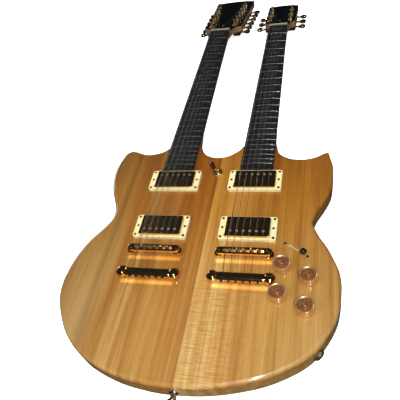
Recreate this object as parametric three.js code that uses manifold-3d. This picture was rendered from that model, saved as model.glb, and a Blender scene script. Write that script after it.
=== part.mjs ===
// Double-neck electric guitar: a twelve-string neck on the -X side and a six-string neck on the +X side.
// Millimetres, +Z up through the body's top face. The origin lies on the flat back of the body, midway
// between the necks and level with the nominal end of the string scale. +Y runs towards the headstocks.
import * as THREE from 'three';
import { mergeVertices } from 'three/addons/utils/BufferGeometryUtils.js';
import Module from 'manifold-3d';

const wasm = await Module();
wasm.setup();

// Clearances and mesh fineness
const seatGap = 0.3;
const overrun = 3;
const roundSides = 12;
const boreSides = 10;
const smallSides = 6;
const cornerSteps = 1;
const curveSteps = 4;
const stringSides = 4;

// Strings and scale
const scaleLength = 648;
const fretCount = 22;
const notesPerOctave = 12;
const neckSpacing = 140.3;
const stringSpreadBridge = 52;
const stringSpreadNutSix = 36;
const stringSpreadNutTwelve = 39;
const pairGapBridge = 2.6;
const pairGapNut = 1.9;
const gauges = [1.17, 0.91, 0.66, 0.43, 0.33, 0.25];
const octaveGaugeShare = 0.55;
const saddleHeight = 14.7;

// Body
const bodyThick = 34;
const bodyHalfWidth = 209;
const bodyLower = 206;
const bodyUpper = 237;
const bodyRound = 6;
const bodyRoundSteps = 2;
const shoulderWidth = 1.5;
const cutawayDepth = 27.7;
const topSkin = 6;
const rimPitch = 15;

// Outline as shares: x of the half width, y of the upper length (above zero) or lower length (below zero)
const leftHornShares = [
  [-0.569, 0.949], [-0.675, 0.93], [-0.746, 0.945], [-0.799, 0.966], [-0.855, 0.97], [-0.898, 0.943],
  [-0.928, 0.857], [-0.941, 0.743], [-0.923, 0.629], [-0.89, 0.536], [-0.842, 0.443], [-0.804, 0.365],
  [-0.794, 0.287], [-0.813, 0.222], [-0.859, 0.152], [-0.916, 0.072], [-0.957, -0.019], [-0.986, -0.131],
];
const lowerBoutShares = [
  [-1, -0.25], [-0.998, -0.33], [-0.981, -0.427], [-0.933, -0.539], [-0.809, -0.723], [-0.627, -0.869],
  [-0.388, -0.961], [-0.148, -0.998], [0.022, -1], [0.189, -0.985], [0.368, -0.947], [0.598, -0.864],
  [0.823, -0.709], [0.962, -0.476], [0.995, -0.262], [0.986, -0.121],
];
const rightHornShares = [
  [0.947, -0.01], [0.9, 0.082], [0.847, 0.16], [0.809, 0.236], [0.799, 0.27], [0.818, 0.342],
  [0.878, 0.451], [0.923, 0.553], [0.938, 0.688], [0.935, 0.802], [0.901, 0.909],
];
const rightCutawayShares = [
  [0.856, 0.901], [0.789, 0.869], [0.713, 0.852], [0.622, 0.857], [0.56, 0.878], [0.498, 0.928],
];
// Middle cutaway: x as a share of the half gap between the pockets, y of the cutaway depth
const middleCutawayShares = [[0.68, 0.48], [0.32, 0.874], [-0.02, 1], [-0.35, 0.953], [-0.76, 0.592]];

// Necks
const neckRise = 4.8;
const neckTiltDegrees = 0.47;
const boardBeyondFret = 12.6;
const boardEndWidth = 57;
const nutWidthSix = 43;
const nutWidthTwelve = 47;
const heelInset = 1.3;
const heelDepth = 23;
const heelBlend = 45;
const neckDepth = 21;
const headBlend = 20;
const neckRingSteps = 12;
// How round the neck's back is, from 0 for a box to 1 for a half ellipse, and how far its depth has run in
const heelRoundShares = [0.45, 0.9];
const heelDepthShare = 0.4;
const headRoundShares = [0.8, 0.4, 0.2];

// Fretboards and frets
const boardThick = 5.7;
const boardRadius = 305;
const boardSteps = 2;
const fretWidth = 2.4;
const fretHeight = 1.1;
const fretTang = 0.5;
const fretInset = 0.6;

// Nuts
const nutThick = 5;
const nutRelief = 0.9;

// Headstocks
const headPitchDegrees = 10.5;
const headThick = 14;
const plateThick = 2;
const earAt = 35;
const earHollowShare = 0.72;
const headCrown = 8.5;
const headLengthSix = 163;
const headLengthTwelve = 246;
const earWidthSix = 71;
const earWidthTwelve = 91;
const headTopWidthSix = 75;
const headTopWidthTwelve = 104;

// Tuners: each worm crosses beside its post, offset towards the headstock's end
const postFirstSix = 40;
const postPitchSix = 37;
const columnSix = 25;
const columnSpreadSix = 0;
const postFirstTwelve = 36;
const postPitchTwelve = 31;
const columnTwelve = 30;
const columnSpreadTwelve = 6;
const wormOffset = 11;
const stripThick = 1;
const stripHalfWidth = 7;
const stripMargin = 10;
const housingDepth = 8;
const housingHalfLength = 6;
const housingInner = 6;
const housingOuter = 11;
const housingChamfer = 2;
const bushingRadius = 4.6;
const flangeRadius = 5.8;
const flangeHeight = 1.4;
const postRadius = 3.1;
const postWaistRadius = 2.5;
const postHeight = 14;
const wormRadius = 2.1;
const wormReach = 3;
const buttonReach = 27;
const buttonLength = 14;
const buttonWidth = 18;
const buttonThick = 6;
const buttonRound = 1.8;
const buttonSteps = 8;

// Pickups and their rings
const neckPickupGap = 1.2;
const bridgePickupY = 43.3;
const ringLength = 89.5;
const ringWidth = 44.7;
const ringHeight = 6.2;
const ringRound = 4;
const ringEdge = 0.8;
const coverLength = 69.6;
const coverWidth = 37.6;
const coverRound = 2.6;
const coverEdge = 1;
const neckCoverTop = 9.4;
const bridgeCoverTop = 10.6;
const coverDepth = 12;
const poleOffset = 9.2;
const polePitch = 10.2;
const poleRadius = 2.3;
const poleHeight = 0.7;
const earPlateLength = 84;
const earPlateWidth = 12;
const earPlateThick = 1.5;
const routeDepth = 16;
const routeMargin = 1.2;

// Bridges
const bridgeY = -3.6;
const bridgeLength = 84;
const bridgeWidth = 12;
const bridgeBottom = 7.2;
const bridgeTop = 12.6;
const bridgeEdge = 0.8;
const bridgeEndFlat = 0.12;
const channelLength = 62;
const channelWidth = 7;
const channelDepth = 2.4;
const saddleWidth = 8.6;
const saddleDepth = 6.4;
const saddleStagger = 0.35;
const bridgePostHalf = 37;
const bridgePostRadius = 2.6;
const bridgePostDepth = 18;
const bridgePostTop = 13.4;
const wheelRadius = 7.5;
const wheelBottom = 3.6;
const wheelThick = 2.4;

// Tailpieces
const tailY = -45.6;
const tailBarHalf = 34;
const tailWidth = 14.5;
const tailBottom = 3.6;
const tailTop = 11.4;
const tailFoot = 2;
const tailLugRadius = 8.6;
const tailLugTop = 9.6;
const studHalf = 41;
const studRadius = 6.4;
const studTop = 12.6;
const studDome = 1.6;
const studShankRadius = 4;
const studDepth = 18;

// Controls: the first knob, the steps to the next column and row, and the blade switch
const knobX = 126.6;
const knobY = -20.9;
const knobColumnX = 37.7;
const knobColumnY = -17.3;
const knobRowX = -2.9;
const knobRowY = -46.9;
const knobBaseRadius = 13.3;
const knobTopRadius = 11.6;
const knobBottom = 1;
const knobHeight = 12;
const knobRim = 1.4;
const knobDish = 1.6;
const knobBossRadius = 6.6;
const knobHollowRadius = 9.4;
const knobHollowHeight = 4.6;
const shaftRadius = 3;
const shaftDepth = 10;
const potRadius = 12;
const potHeight = 9;
const potFloor = 2;
const bushRadius = 4.7;
const bushTop = 3.4;
const bushNutRadius = 6.8;
const bushNutHeight = 2;

const bladeX = 144.9;
const bladeY = 9.5;
const bladeTurnDegrees = -33.4;
const bladeLeanDegrees = 23.6;
const bladePivotDepth = 22;
const bladeWidth = 5;
const bladeThick = 1.4;
const bladeTail = 4;
const bladeCapFrom = 27;
const bladeCapHeight = 9.5;
const bladeCapWidth = 8;
const bladeCapThick = 5;
const bladeCapRound = 1.8;
const bladeCapEdge = 0.8;
const bladePinRadius = 1.3;
const bladeSideGap = 0.4;
const bladeFrameThick = 1.2;
const bladeFrameLength = 47;
const bladeFrameWidth = 9;
const bladeCheekLength = 28;
const bladeCheekBelow = 3;
const bladeSlotMargin = 0.8;

const toggleX = 2.7;
const toggleY = 166.9;
const toggleLeanDegrees = 19;
const togglePivotHeight = 1;
const toggleBallRadius = 2.6;
const toggleRodRadius = 1.5;
const toggleRodLength = 13;
const toggleTipRadius = 4;
const toggleTipNeckRadius = 3;
const toggleTipEndRadius = 2.8;
const toggleTipDome = 0.8;
const toggleTipLength = 13;
const toggleCaseRadius = 9;
const toggleCaseHeight = 13;
const toggleBushRadius = 5.8;
const toggleBushTop = 6;
const toggleNutRadius = 8.6;
const toggleNutHeight = 2.8;
const toggleMouthRadius = 4.4;
const toggleWellDepth = 3;

// Rear cavities and covers: cavity outline as shares of its half sizes round its centre
const cavityX = 145;
const cavityY = -37;
const cavityHalfX = 41;
const cavityHalfY = 73;
const cavityShares = [
  [-0.93, 0.86], [-0.41, 1.01], [0.37, 0.78], [0.9, 0.4], [1, -0.18],
  [0.93, -0.75], [0.44, -1], [-0.37, -0.84], [-0.9, -0.64], [-1, 0.1],
];
const cavitySteps = 24;
const coverLedge = 7;
const coverThick = 2;
const toggleCavityRadius = 17;
const discSteps = 18;

// Strap buttons and output jack
const strapShare = 0.545;
const strapBaseRadius = 6;
const strapNeckRadius = 4;
const strapFlangeRadius = 7.4;
const strapHeight = 12.5;
const strapNeckLow = 2;
const strapNeckHigh = 8;
const strapFlangeEdge = 1.2;
const strapScrewRadius = 1.9;
const strapScrewDepth = 16;
const heelStrapAt = 15;

const jackShare = 0.7;
const jackBoreRadius = 3.3;
const jackBarrelRadius = 6;
const jackDepth = 22;
const jackWasherRadius = 9;
const jackWasherThick = 1.6;
const jackNutRadius = 6.4;
const jackNutHeight = 2.2;
const jackRimGap = 0.6;
const jackHoleDepth = 48;

const turn = THREE.MathUtils.degToRad;
const half = (size) => size / 2;

// Each neck's own sizes
const necks = [
  {
    name: '12',
    x: -half(neckSpacing),
    nutWidth: nutWidthTwelve,
    nutSpread: stringSpreadNutTwelve,
    courses: 2,
    headLength: headLengthTwelve,
    earWidth: earWidthTwelve,
    topWidth: headTopWidthTwelve,
    postCount: 6,
    postFirst: postFirstTwelve,
    postPitch: postPitchTwelve,
    column: columnTwelve,
    columnSpread: columnSpreadTwelve,
  },
  {
    name: '6',
    x: half(neckSpacing),
    nutWidth: nutWidthSix,
    nutSpread: stringSpreadNutSix,
    courses: 1,
    headLength: headLengthSix,
    earWidth: earWidthSix,
    topWidth: headTopWidthSix,
    postCount: 3,
    postFirst: postFirstSix,
    postPitch: postPitchSix,
    column: columnSix,
    columnSpread: columnSpreadSix,
  },
];
const sides = [{ name: 'bass', sign: -1 }, { name: 'treble', sign: 1 }];
const fretPlace = (fret) => scaleLength * 2 ** (-fret / notesPerOctave);
const boardEnd = fretPlace(fretCount) - boardBeyondFret;
const heelStart = boardEnd + heelInset;
const neckPickupY = boardEnd - neckPickupGap - half(ringWidth);
const boardTop = seatGap + boardThick;
const nutEnd = scaleLength + seatGap + nutThick;
const plateTop = seatGap + plateThick;
const headDrop = plateTop;
const pickups = [
  { name: 'neck', y: neckPickupY, top: neckCoverTop, poleSide: 1 },
  { name: 'bridge', y: bridgePickupY, top: bridgeCoverTop, poleSide: -1 },
];

// Materials
function paint(color, roughness, metalness) {
  return new THREE.MeshStandardMaterial({ color, roughness, metalness });
}
const bodyWood = paint('#c9964f', 0.25, 0);
const neckWood = paint('#b98a55', 0.35, 0);
const fretboardWood = paint('#241d1b', 0.5, 0);
const blackGloss = paint('#0b0a0a', 0.15, 0);
const blackMatt = paint('#151515', 0.6, 0);
const boneWhite = paint('#e9dfc4', 0.45, 0);
const creamPlastic = paint('#efe3b4', 0.4, 0);
const goldPlate = paint('#d6a443', 0.22, 1);
const amberPlastic = paint('#b8804a', 0.2, 0.2);
const darkAmber = paint('#5a2c12', 0.3, 0);
const greySteel = paint('#8d9094', 0.4, 0.9);

// A closed geometry as a solid: merged vertices, no collapsed triangles, faces outwards
function solid(geometry) {
  const bare = geometry.clone();
  bare.deleteAttribute('normal');
  bare.deleteAttribute('uv');
  const merged = mergeVertices(bare);
  const spots = merged.attributes.position;
  const corners = [];
  let volume = 0;
  const a = new THREE.Vector3();
  const b = new THREE.Vector3();
  const c = new THREE.Vector3();
  for (let i = 0; i < merged.index.count; i += 3) {
    const triangle = [merged.index.getX(i), merged.index.getX(i + 1), merged.index.getX(i + 2)];
    if (new Set(triangle).size < triangle.length) continue;
    corners.push(triangle);
    a.fromBufferAttribute(spots, triangle[0]);
    b.fromBufferAttribute(spots, triangle[1]);
    c.fromBufferAttribute(spots, triangle[2]);
    volume += a.dot(b.cross(c));
  }
  const outward = volume < 0 ? corners.map(([p, q, r]) => [p, r, q]) : corners;
  return new wasm.Manifold(new wasm.Mesh({
    numProp: 3,
    vertProperties: new Float32Array(spots.array),
    triVerts: new Uint32Array(outward.flat()),
  }));
}

function meshOf(name, shape, material) {
  const { vertProperties, triVerts } = shape.getMesh();
  const geometry = new THREE.BufferGeometry();
  geometry.setAttribute('position', new THREE.BufferAttribute(new Float32Array(vertProperties), 3));
  geometry.setIndex([...triVerts]);
  geometry.computeVertexNormals();
  const mesh = new THREE.Mesh(geometry, material);
  mesh.name = name;
  return mesh;
}

// Rings of points joined by straight sides, closed by a flat fan at each end
function loft(rings) {
  const count = rings[0].length;
  const index = [];
  for (let ring = 0; ring + 1 < rings.length; ring += 1) {
    for (let i = 0; i < count; i += 1) {
      const here = ring * count + i;
      const next = ring * count + ((i + 1) % count);
      index.push(here, next, here + count, next, next + count, here + count);
    }
  }
  const last = (rings.length - 1) * count;
  for (let i = 1; i + 1 < count; i += 1) {
    index.push(0, i + 1, i, last, last + i, last + i + 1);
  }
  const geometry = new THREE.BufferGeometry().setFromPoints(rings.flat());
  geometry.setIndex(index);
  return geometry;
}

function block(x0, x1, y0, y1, z0, z1) {
  const box = new THREE.BoxGeometry(x1 - x0, y1 - y0, z1 - z0);
  return box.translate(half(x0 + x1), half(y0 + y1), half(z0 + z1));
}

// A shape from z0 to z1, with its edges rounded inwards by edge
function slab(shape, z0, z1, edge = 0, edgeSteps = 1, curveSegments = cornerSteps) {
  const geometry = new THREE.ExtrudeGeometry(shape, {
    depth: z1 - z0 - 2 * edge,
    steps: 1,
    curveSegments,
    bevelEnabled: edge > 0,
    bevelThickness: edge,
    bevelSize: edge,
    bevelOffset: -edge,
    bevelSegments: edgeSteps,
  });
  return geometry.translate(0, 0, z0 + edge);
}

// A profile of [radius, height] pairs turned round the Z axis
function revolve(profile, segments = roundSides) {
  const points = profile.map(([radius, height]) => new THREE.Vector2(radius, height));
  return new THREE.LatheGeometry(points, segments).rotateX(half(Math.PI));
}

// A cutting cylinder whose flats, not its corners, lie at the radius
function bore(radius, z0, z1, segments = boreSides) {
  const outer = radius / Math.cos(Math.PI / segments);
  return revolve([[0, z0], [outer, z0], [outer, z1], [0, z1]], segments);
}

function roundedRectangle(length, width, round) {
  const x = half(length);
  const y = half(width);
  const shape = new THREE.Shape();
  shape.absarc(x - round, y - round, round, 0, half(Math.PI));
  shape.absarc(round - x, y - round, round, half(Math.PI), Math.PI);
  shape.absarc(round - x, round - y, round, Math.PI, 1.5 * Math.PI);
  shape.absarc(x - round, round - y, round, 1.5 * Math.PI, 2 * Math.PI);
  return shape;
}

function circle(radius, segments) {
  const ring = new THREE.EllipseCurve(0, 0, radius, radius).getPoints(segments);
  return new THREE.Shape(ring.slice(0, -1));
}

// A smooth line through points, read off at even steps, without its last point
function smoothStretch(points, steps) {
  const curve = new THREE.CatmullRomCurve3(points.map(([x, y]) => new THREE.Vector3(x, y, 0)));
  return curve.getSpacedPoints(steps).slice(0, -1).map((spot) => new THREE.Vector2(spot.x, spot.y));
}

// Neck widths and frames
function boardHalf(neck, y) {
  const share = (y - boardEnd) / (scaleLength - boardEnd);
  return half(THREE.MathUtils.lerp(boardEndWidth, neck.nutWidth, share));
}
for (const neck of necks) {
  neck.deck = new THREE.Group();
  neck.deck.position.set(neck.x, 0, bodyThick);
  neck.group = new THREE.Group();
  neck.group.position.set(0, 0, neckRise);
  neck.group.rotation.x = -turn(neckTiltDegrees);
  neck.head = new THREE.Group();
  neck.head.position.set(0, nutEnd, -headDrop);
  neck.head.rotation.x = -turn(headPitchDegrees);
  neck.deck.add(neck.group);
  neck.group.add(neck.head);
  neck.deck.updateMatrixWorld(true);
}

// Body outline
function bodyPoint([xShare, yShare]) {
  return [xShare * bodyHalfWidth, yShare * (yShare > 0 ? bodyUpper : bodyLower)];
}
function pocketHalf(neck) {
  return boardHalf(neck, bodyUpper) + seatGap + shoulderWidth;
}
const [leftNeck, rightNeck] = necks;
const sidePoints = [
  [leftNeck.x - pocketHalf(leftNeck), bodyUpper],
  ...[...leftHornShares, ...lowerBoutShares, ...rightHornShares].map(bodyPoint),
];
const sideCurve = new THREE.CatmullRomCurve3(sidePoints.map(([x, y]) => new THREE.Vector3(x, y, 0)));
sideCurve.arcLengthDivisions = 1000;

function bodyShape() {
  const rightCorner = rightNeck.x + pocketHalf(rightNeck);
  const innerRight = rightNeck.x - pocketHalf(rightNeck);
  const innerLeft = leftNeck.x + pocketHalf(leftNeck);
  const middle = half(innerLeft + innerRight);
  const gap = half(innerRight - innerLeft);
  const tip = bodyPoint(rightHornShares.at(-1));
  const rightCutaway = [tip, ...rightCutawayShares.map(bodyPoint), [rightCorner, bodyUpper]];
  const middleCutaway = [
    [innerRight, bodyUpper],
    ...middleCutawayShares.map(([x, y]) => [middle + x * gap, bodyUpper - y * cutawayDepth]),
    [innerLeft, bodyUpper],
  ];
  const sideSteps = Math.round(sideCurve.getLength() / rimPitch);
  const cutawaySteps = Math.round(half(bodyHalfWidth) / rimPitch);
  const points = [
    ...smoothStretch(sidePoints, sideSteps),
    ...smoothStretch(rightCutaway, cutawaySteps),
    new THREE.Vector2(rightCorner, bodyUpper),
    ...smoothStretch(middleCutaway, cutawaySteps),
    new THREE.Vector2(innerLeft, bodyUpper),
  ];
  return new THREE.Shape(points);
}

// The place on the rim at a share of the side curve, and the direction that faces out of it
function rimPlace(share) {
  const spot = sideCurve.getPointAt(share);
  const along = sideCurve.getTangentAt(share);
  return { spot, outward: new THREE.Vector3(along.y, -along.x, 0) };
}
// Group whose +Z faces out of the rim
function rimGroup(share, standoff) {
  const { spot, outward } = rimPlace(share);
  const group = new THREE.Group();
  group.position.set(spot.x, spot.y, half(bodyThick)).addScaledVector(outward, standoff);
  group.quaternion.setFromUnitVectors(new THREE.Vector3(0, 0, 1), outward);
  group.updateMatrixWorld(true);
  return group;
}

// Controls
const knobs = [];
for (let row = 0; row < 2; row += 1) {
  for (let column = 0; column < 2; column += 1) {
    knobs.push({
      name: `${row + 1}_${column + 1}`,
      x: knobX + column * knobColumnX + row * knobRowX,
      y: knobY + column * knobColumnY + row * knobRowY,
    });
  }
}
function cavityShape(grow) {
  const points = cavityShares.map(([x, y]) => [x * (cavityHalfX + grow), y * (cavityHalfY + grow)]);
  return new THREE.Shape(smoothStretch([...points, points[0]], cavitySteps));
}
const bladeSlotHalf = bladePivotDepth * Math.tan(turn(bladeLeanDegrees))
  + half(bladeWidth) / Math.cos(turn(bladeLeanDegrees)) + bladeSlotMargin;
function bladeSlot(z0, z1) {
  const wide = half(bladeThick) + bladeSideGap + seatGap;
  return block(-bladeSlotHalf, bladeSlotHalf, -wide, wide, z0, z1);
}
const bladeGroup = new THREE.Group();
bladeGroup.position.set(bladeX, bladeY, bodyThick);
bladeGroup.rotation.z = turn(bladeTurnDegrees);
bladeGroup.updateMatrixWorld(true);

const strapGroup = rimGroup(strapShare, seatGap);
const jackGroup = rimGroup(jackShare, jackRimGap);

function makeBody() {
  let wood = solid(slab(bodyShape(), 0, bodyThick, bodyRound, bodyRoundSteps));
  const cut = (geometry) => {
    wood = wood.subtract(solid(geometry));
  };
  for (const neck of necks) {
    cut(neckPocket(neck).applyMatrix4(neck.group.matrixWorld));
    for (const pickup of pickups) {
      const route = [neck.x, pickup.y, bodyThick];
      const coverRoute = roundedRectangle(
        coverLength + 2 * routeMargin, coverWidth + 2 * routeMargin, coverRound + routeMargin);
      const earX = half(earPlateLength) + routeMargin;
      const earY = half(earPlateWidth) + routeMargin;
      cut(slab(coverRoute, -routeDepth, overrun).translate(...route));
      cut(block(-earX, earX, -earY, earY, -routeDepth, overrun).translate(...route));
    }
    for (const { sign } of sides) {
      const bridgeBore = bore(bridgePostRadius + seatGap, -bridgePostDepth - seatGap, overrun);
      cut(bridgeBore.translate(neck.x + sign * bridgePostHalf, bridgeY, bodyThick));
      const studBore = bore(studShankRadius + seatGap, -studDepth - seatGap, overrun);
      cut(studBore.translate(neck.x + sign * studHalf, tailY, bodyThick));
    }
  }
  const ceiling = bodyThick - topSkin;
  const recess = coverThick + 2 * seatGap;
  cut(slab(cavityShape(0), -overrun, ceiling).translate(cavityX, cavityY, 0));
  cut(slab(cavityShape(coverLedge + seatGap), -overrun, recess).translate(cavityX, cavityY, 0));
  for (const knob of knobs) {
    cut(bore(bushRadius + seatGap, -topSkin - overrun, overrun).translate(knob.x, knob.y, bodyThick));
  }
  cut(bladeSlot(-topSkin - overrun, overrun).applyMatrix4(bladeGroup.matrixWorld));
  cut(slab(circle(toggleCavityRadius, discSteps), -overrun, ceiling).translate(toggleX, toggleY, 0));
  const toggleRecess = circle(toggleCavityRadius + coverLedge + seatGap, discSteps);
  cut(slab(toggleRecess, -overrun, recess).translate(toggleX, toggleY, 0));
  cut(bore(toggleBushRadius + seatGap, -topSkin - overrun, overrun).translate(toggleX, toggleY, bodyThick));
  cut(bore(strapScrewRadius + seatGap, -strapScrewDepth - seatGap, overrun)
    .applyMatrix4(strapGroup.matrixWorld));
  cut(bore(jackBarrelRadius + seatGap, -jackHoleDepth, overrun).applyMatrix4(jackGroup.matrixWorld));
  return wood;
}

// Neck section: a flat top and a back between a box (round 0) and a half ellipse (round 1)
function neckRing(neck, y, depth, round) {
  const wide = boardHalf(neck, Math.min(y, scaleLength));
  const ring = [];
  for (let step = 0; step <= neckRingSteps; step += 1) {
    const share = step / neckRingSteps;
    const angle = Math.PI * (1 + share);
    const boxX = THREE.MathUtils.clamp(4 * share - 2, -1, 1);
    const boxZ = -Math.min(1, 4 * share, 4 - 4 * share);
    const x = THREE.MathUtils.lerp(boxX, Math.cos(angle), round);
    const z = THREE.MathUtils.lerp(boxZ, Math.sin(angle), round);
    ring.push(new THREE.Vector3(wide * x, y, depth * z));
  }
  return ring;
}
function neckPocket(neck) {
  const y0 = heelStart - seatGap;
  const y1 = bodyUpper + bodyRound;
  const corner = (y, side, z) => new THREE.Vector3(side * (boardHalf(neck, y) + seatGap), y, z);
  const low = -heelDepth - seatGap;
  const ring = (y) => [corner(y, -1, overrun), corner(y, -1, low), corner(y, 1, low), corner(y, 1, overrun)];
  return loft([ring(y0), ring(y1)]);
}
function headShape(neck) {
  const shape = new THREE.Shape();
  const start = half(neck.nutWidth);
  const ear = half(neck.earWidth);
  const top = half(neck.topWidth);
  const shoulder = neck.headLength - headCrown;
  shape.moveTo(-start, 0);
  shape.lineTo(start, 0);
  shape.quadraticCurveTo(start, earAt * earHollowShare, ear, earAt);
  shape.quadraticCurveTo(ear, half(shoulder + earAt), top, shoulder);
  shape.quadraticCurveTo(0, neck.headLength + headCrown, -top, shoulder);
  shape.quadraticCurveTo(-ear, half(shoulder + earAt), -ear, earAt);
  shape.quadraticCurveTo(-start, earAt * earHollowShare, -start, 0);
  return shape;
}
function posts(neck, sign) {
  const list = [];
  for (let i = 0; i < neck.postCount; i += 1) {
    const spread = neck.columnSpread * (i / (neck.postCount - 1));
    list.push({ x: sign * (neck.column + spread), y: neck.postFirst + i * neck.postPitch });
  }
  return list;
}
function postBores(neck, z0, z1) {
  return sides.flatMap(({ sign }) => posts(neck, sign))
    .map((post) => bore(bushingRadius + seatGap, z0, z1, smallSides).translate(post.x, post.y, 0));
}
function makeNeck(neck) {
  const blendDepth = THREE.MathUtils.lerp(heelDepth, neckDepth, heelDepthShare);
  const rings = [
    neckRing(neck, heelStart, heelDepth, 0),
    neckRing(neck, bodyUpper + seatGap, heelDepth, 0),
    neckRing(neck, bodyUpper + half(heelBlend), heelDepth, heelRoundShares[0]),
    neckRing(neck, bodyUpper + heelBlend, blendDepth, heelRoundShares[1]),
    neckRing(neck, bodyUpper + 2 * heelBlend, neckDepth, 1),
    neckRing(neck, scaleLength - 2 * headBlend, neckDepth, 1),
    neckRing(neck, scaleLength - half(headBlend), neckDepth, headRoundShares[0]),
    neckRing(neck, nutEnd, neckDepth, headRoundShares[1]),
    neckRing(neck, nutEnd + headBlend, neckDepth, headRoundShares[2]),
  ];
  const head = neck.head.matrix;
  const headstock = slab(headShape(neck), -headThick, 0, 0, 1, curveSteps).applyMatrix4(head);
  let wood = solid(loft(rings)).add(solid(headstock));
  const wide = neck.topWidth;
  const above = block(-wide, wide, 0, neck.headLength + overrun, 0, headThick);
  wood = wood.subtract(solid(above.applyMatrix4(head)));
  for (const hole of postBores(neck, -headThick - overrun, overrun)) {
    wood = wood.subtract(solid(hole.applyMatrix4(head)));
  }
  if (neck === leftNeck) {
    const screw = bore(strapScrewRadius + seatGap, -strapScrewDepth - seatGap, overrun);
    wood = wood.subtract(solid(screw.applyMatrix4(heelStrap.matrix)));
  }
  return wood;
}
function makeHeadplate(neck) {
  let plate = solid(slab(headShape(neck), seatGap, plateTop, 0, 1, curveSteps).translate(0, seatGap, 0));
  for (const hole of postBores(neck, -overrun, plateTop + overrun)) {
    plate = plate.subtract(solid(hole));
  }
  return plate;
}

// Strap button group under the twelve-string neck's heel, its +Z facing down out of the wood
const heelStrap = new THREE.Group();
heelStrap.position.set(0, bodyUpper + heelStrapAt, -heelDepth - seatGap);
heelStrap.rotation.x = Math.PI;
heelStrap.updateMatrix();

function crown(x) {
  return boardRadius - Math.sqrt(boardRadius * boardRadius - x * x);
}
function boardStations(neck, y, inset) {
  const wide = boardHalf(neck, y) - inset;
  const stations = [];
  for (let step = 0; step <= boardSteps; step += 1) {
    stations.push(wide * (2 * step / boardSteps - 1));
  }
  return stations;
}
function makeFretboard(neck) {
  const section = (y) => {
    const top = boardStations(neck, y, 0).map((x) => new THREE.Vector3(x, y, boardTop - crown(x)));
    const wide = boardHalf(neck, y);
    return [new THREE.Vector3(wide, y, seatGap), new THREE.Vector3(-wide, y, seatGap), ...top];
  };
  let board = solid(loft([section(boardEnd), section(scaleLength)]));
  for (let fret = 1; fret <= fretCount; fret += 1) {
    const y = fretPlace(fret);
    const rings = boardStations(neck, y, fretInset).map((x) => {
      const base = boardTop - crown(x);
      const foot = half(fretWidth);
      return [
        new THREE.Vector3(x, y - foot, base - fretTang),
        new THREE.Vector3(x, y + foot, base - fretTang),
        new THREE.Vector3(x, y, base + fretHeight),
      ];
    });
    board = board.add(solid(loft(rings)));
  }
  return board;
}

// Strings of one neck, bass first: the place across at the bridge and at the nut, and the thickness
function stringList(neck) {
  const list = [];
  for (let course = 0; course < gauges.length; course += 1) {
    const share = course / (gauges.length - 1) - 0.5;
    for (let twin = 0; twin < neck.courses; twin += 1) {
      const side = neck.courses > 1 ? twin - 0.5 : 0;
      const octave = twin === 0 && neck.courses > 1 ? octaveGaugeShare : 1;
      list.push({
        bridge: share * stringSpreadBridge + side * pairGapBridge,
        nut: share * neck.nutSpread + side * pairGapNut,
        radius: half(gauges[course] * octave),
      });
    }
  }
  return list;
}
function makeNutAndStrings(neck) {
  const tilt = neck.group.matrix;
  const nutTop = boardTop + fretHeight + nutRelief;
  const wide = half(neck.nutWidth);
  const nut = block(-wide, wide, scaleLength + seatGap, nutEnd, seatGap, nutTop);
  let strings = solid(nut.applyMatrix4(tilt));
  const list = stringList(neck);
  list.forEach((string, i) => {
    const bass = i < half(list.length);
    const place = bass ? i : list.length - 1 - i;
    const post = posts(neck, bass ? -1 : 1)[place];
    const reach = postRadius + seatGap + string.radius;
    const post3 = new THREE.Vector3(post.x - Math.sign(post.x) * reach, post.y, plateTop + half(postHeight));
    const path = [
      new THREE.Vector3(string.bridge, tailY + half(tailWidth) + seatGap, half(tailBottom + tailTop)),
      new THREE.Vector3(string.bridge, bridgeY, saddleHeight),
      new THREE.Vector3(string.nut, scaleLength, nutTop).applyMatrix4(tilt),
      new THREE.Vector3(string.nut, nutEnd, nutTop).applyMatrix4(tilt),
      post3.applyMatrix4(neck.head.matrix).applyMatrix4(tilt),
    ];
    const rings = path.map(({ x, y, z }) => {
      const ring = [];
      for (let step = 0; step < stringSides; step += 1) {
        const angle = (2 * Math.PI * step) / stringSides;
        ring.push(new THREE.Vector3(
          x + string.radius * Math.cos(angle), y, z + string.radius * Math.sin(angle)));
      }
      return ring;
    });
    strings = strings.add(solid(loft(rings)));
  });
  return strings;
}

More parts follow.
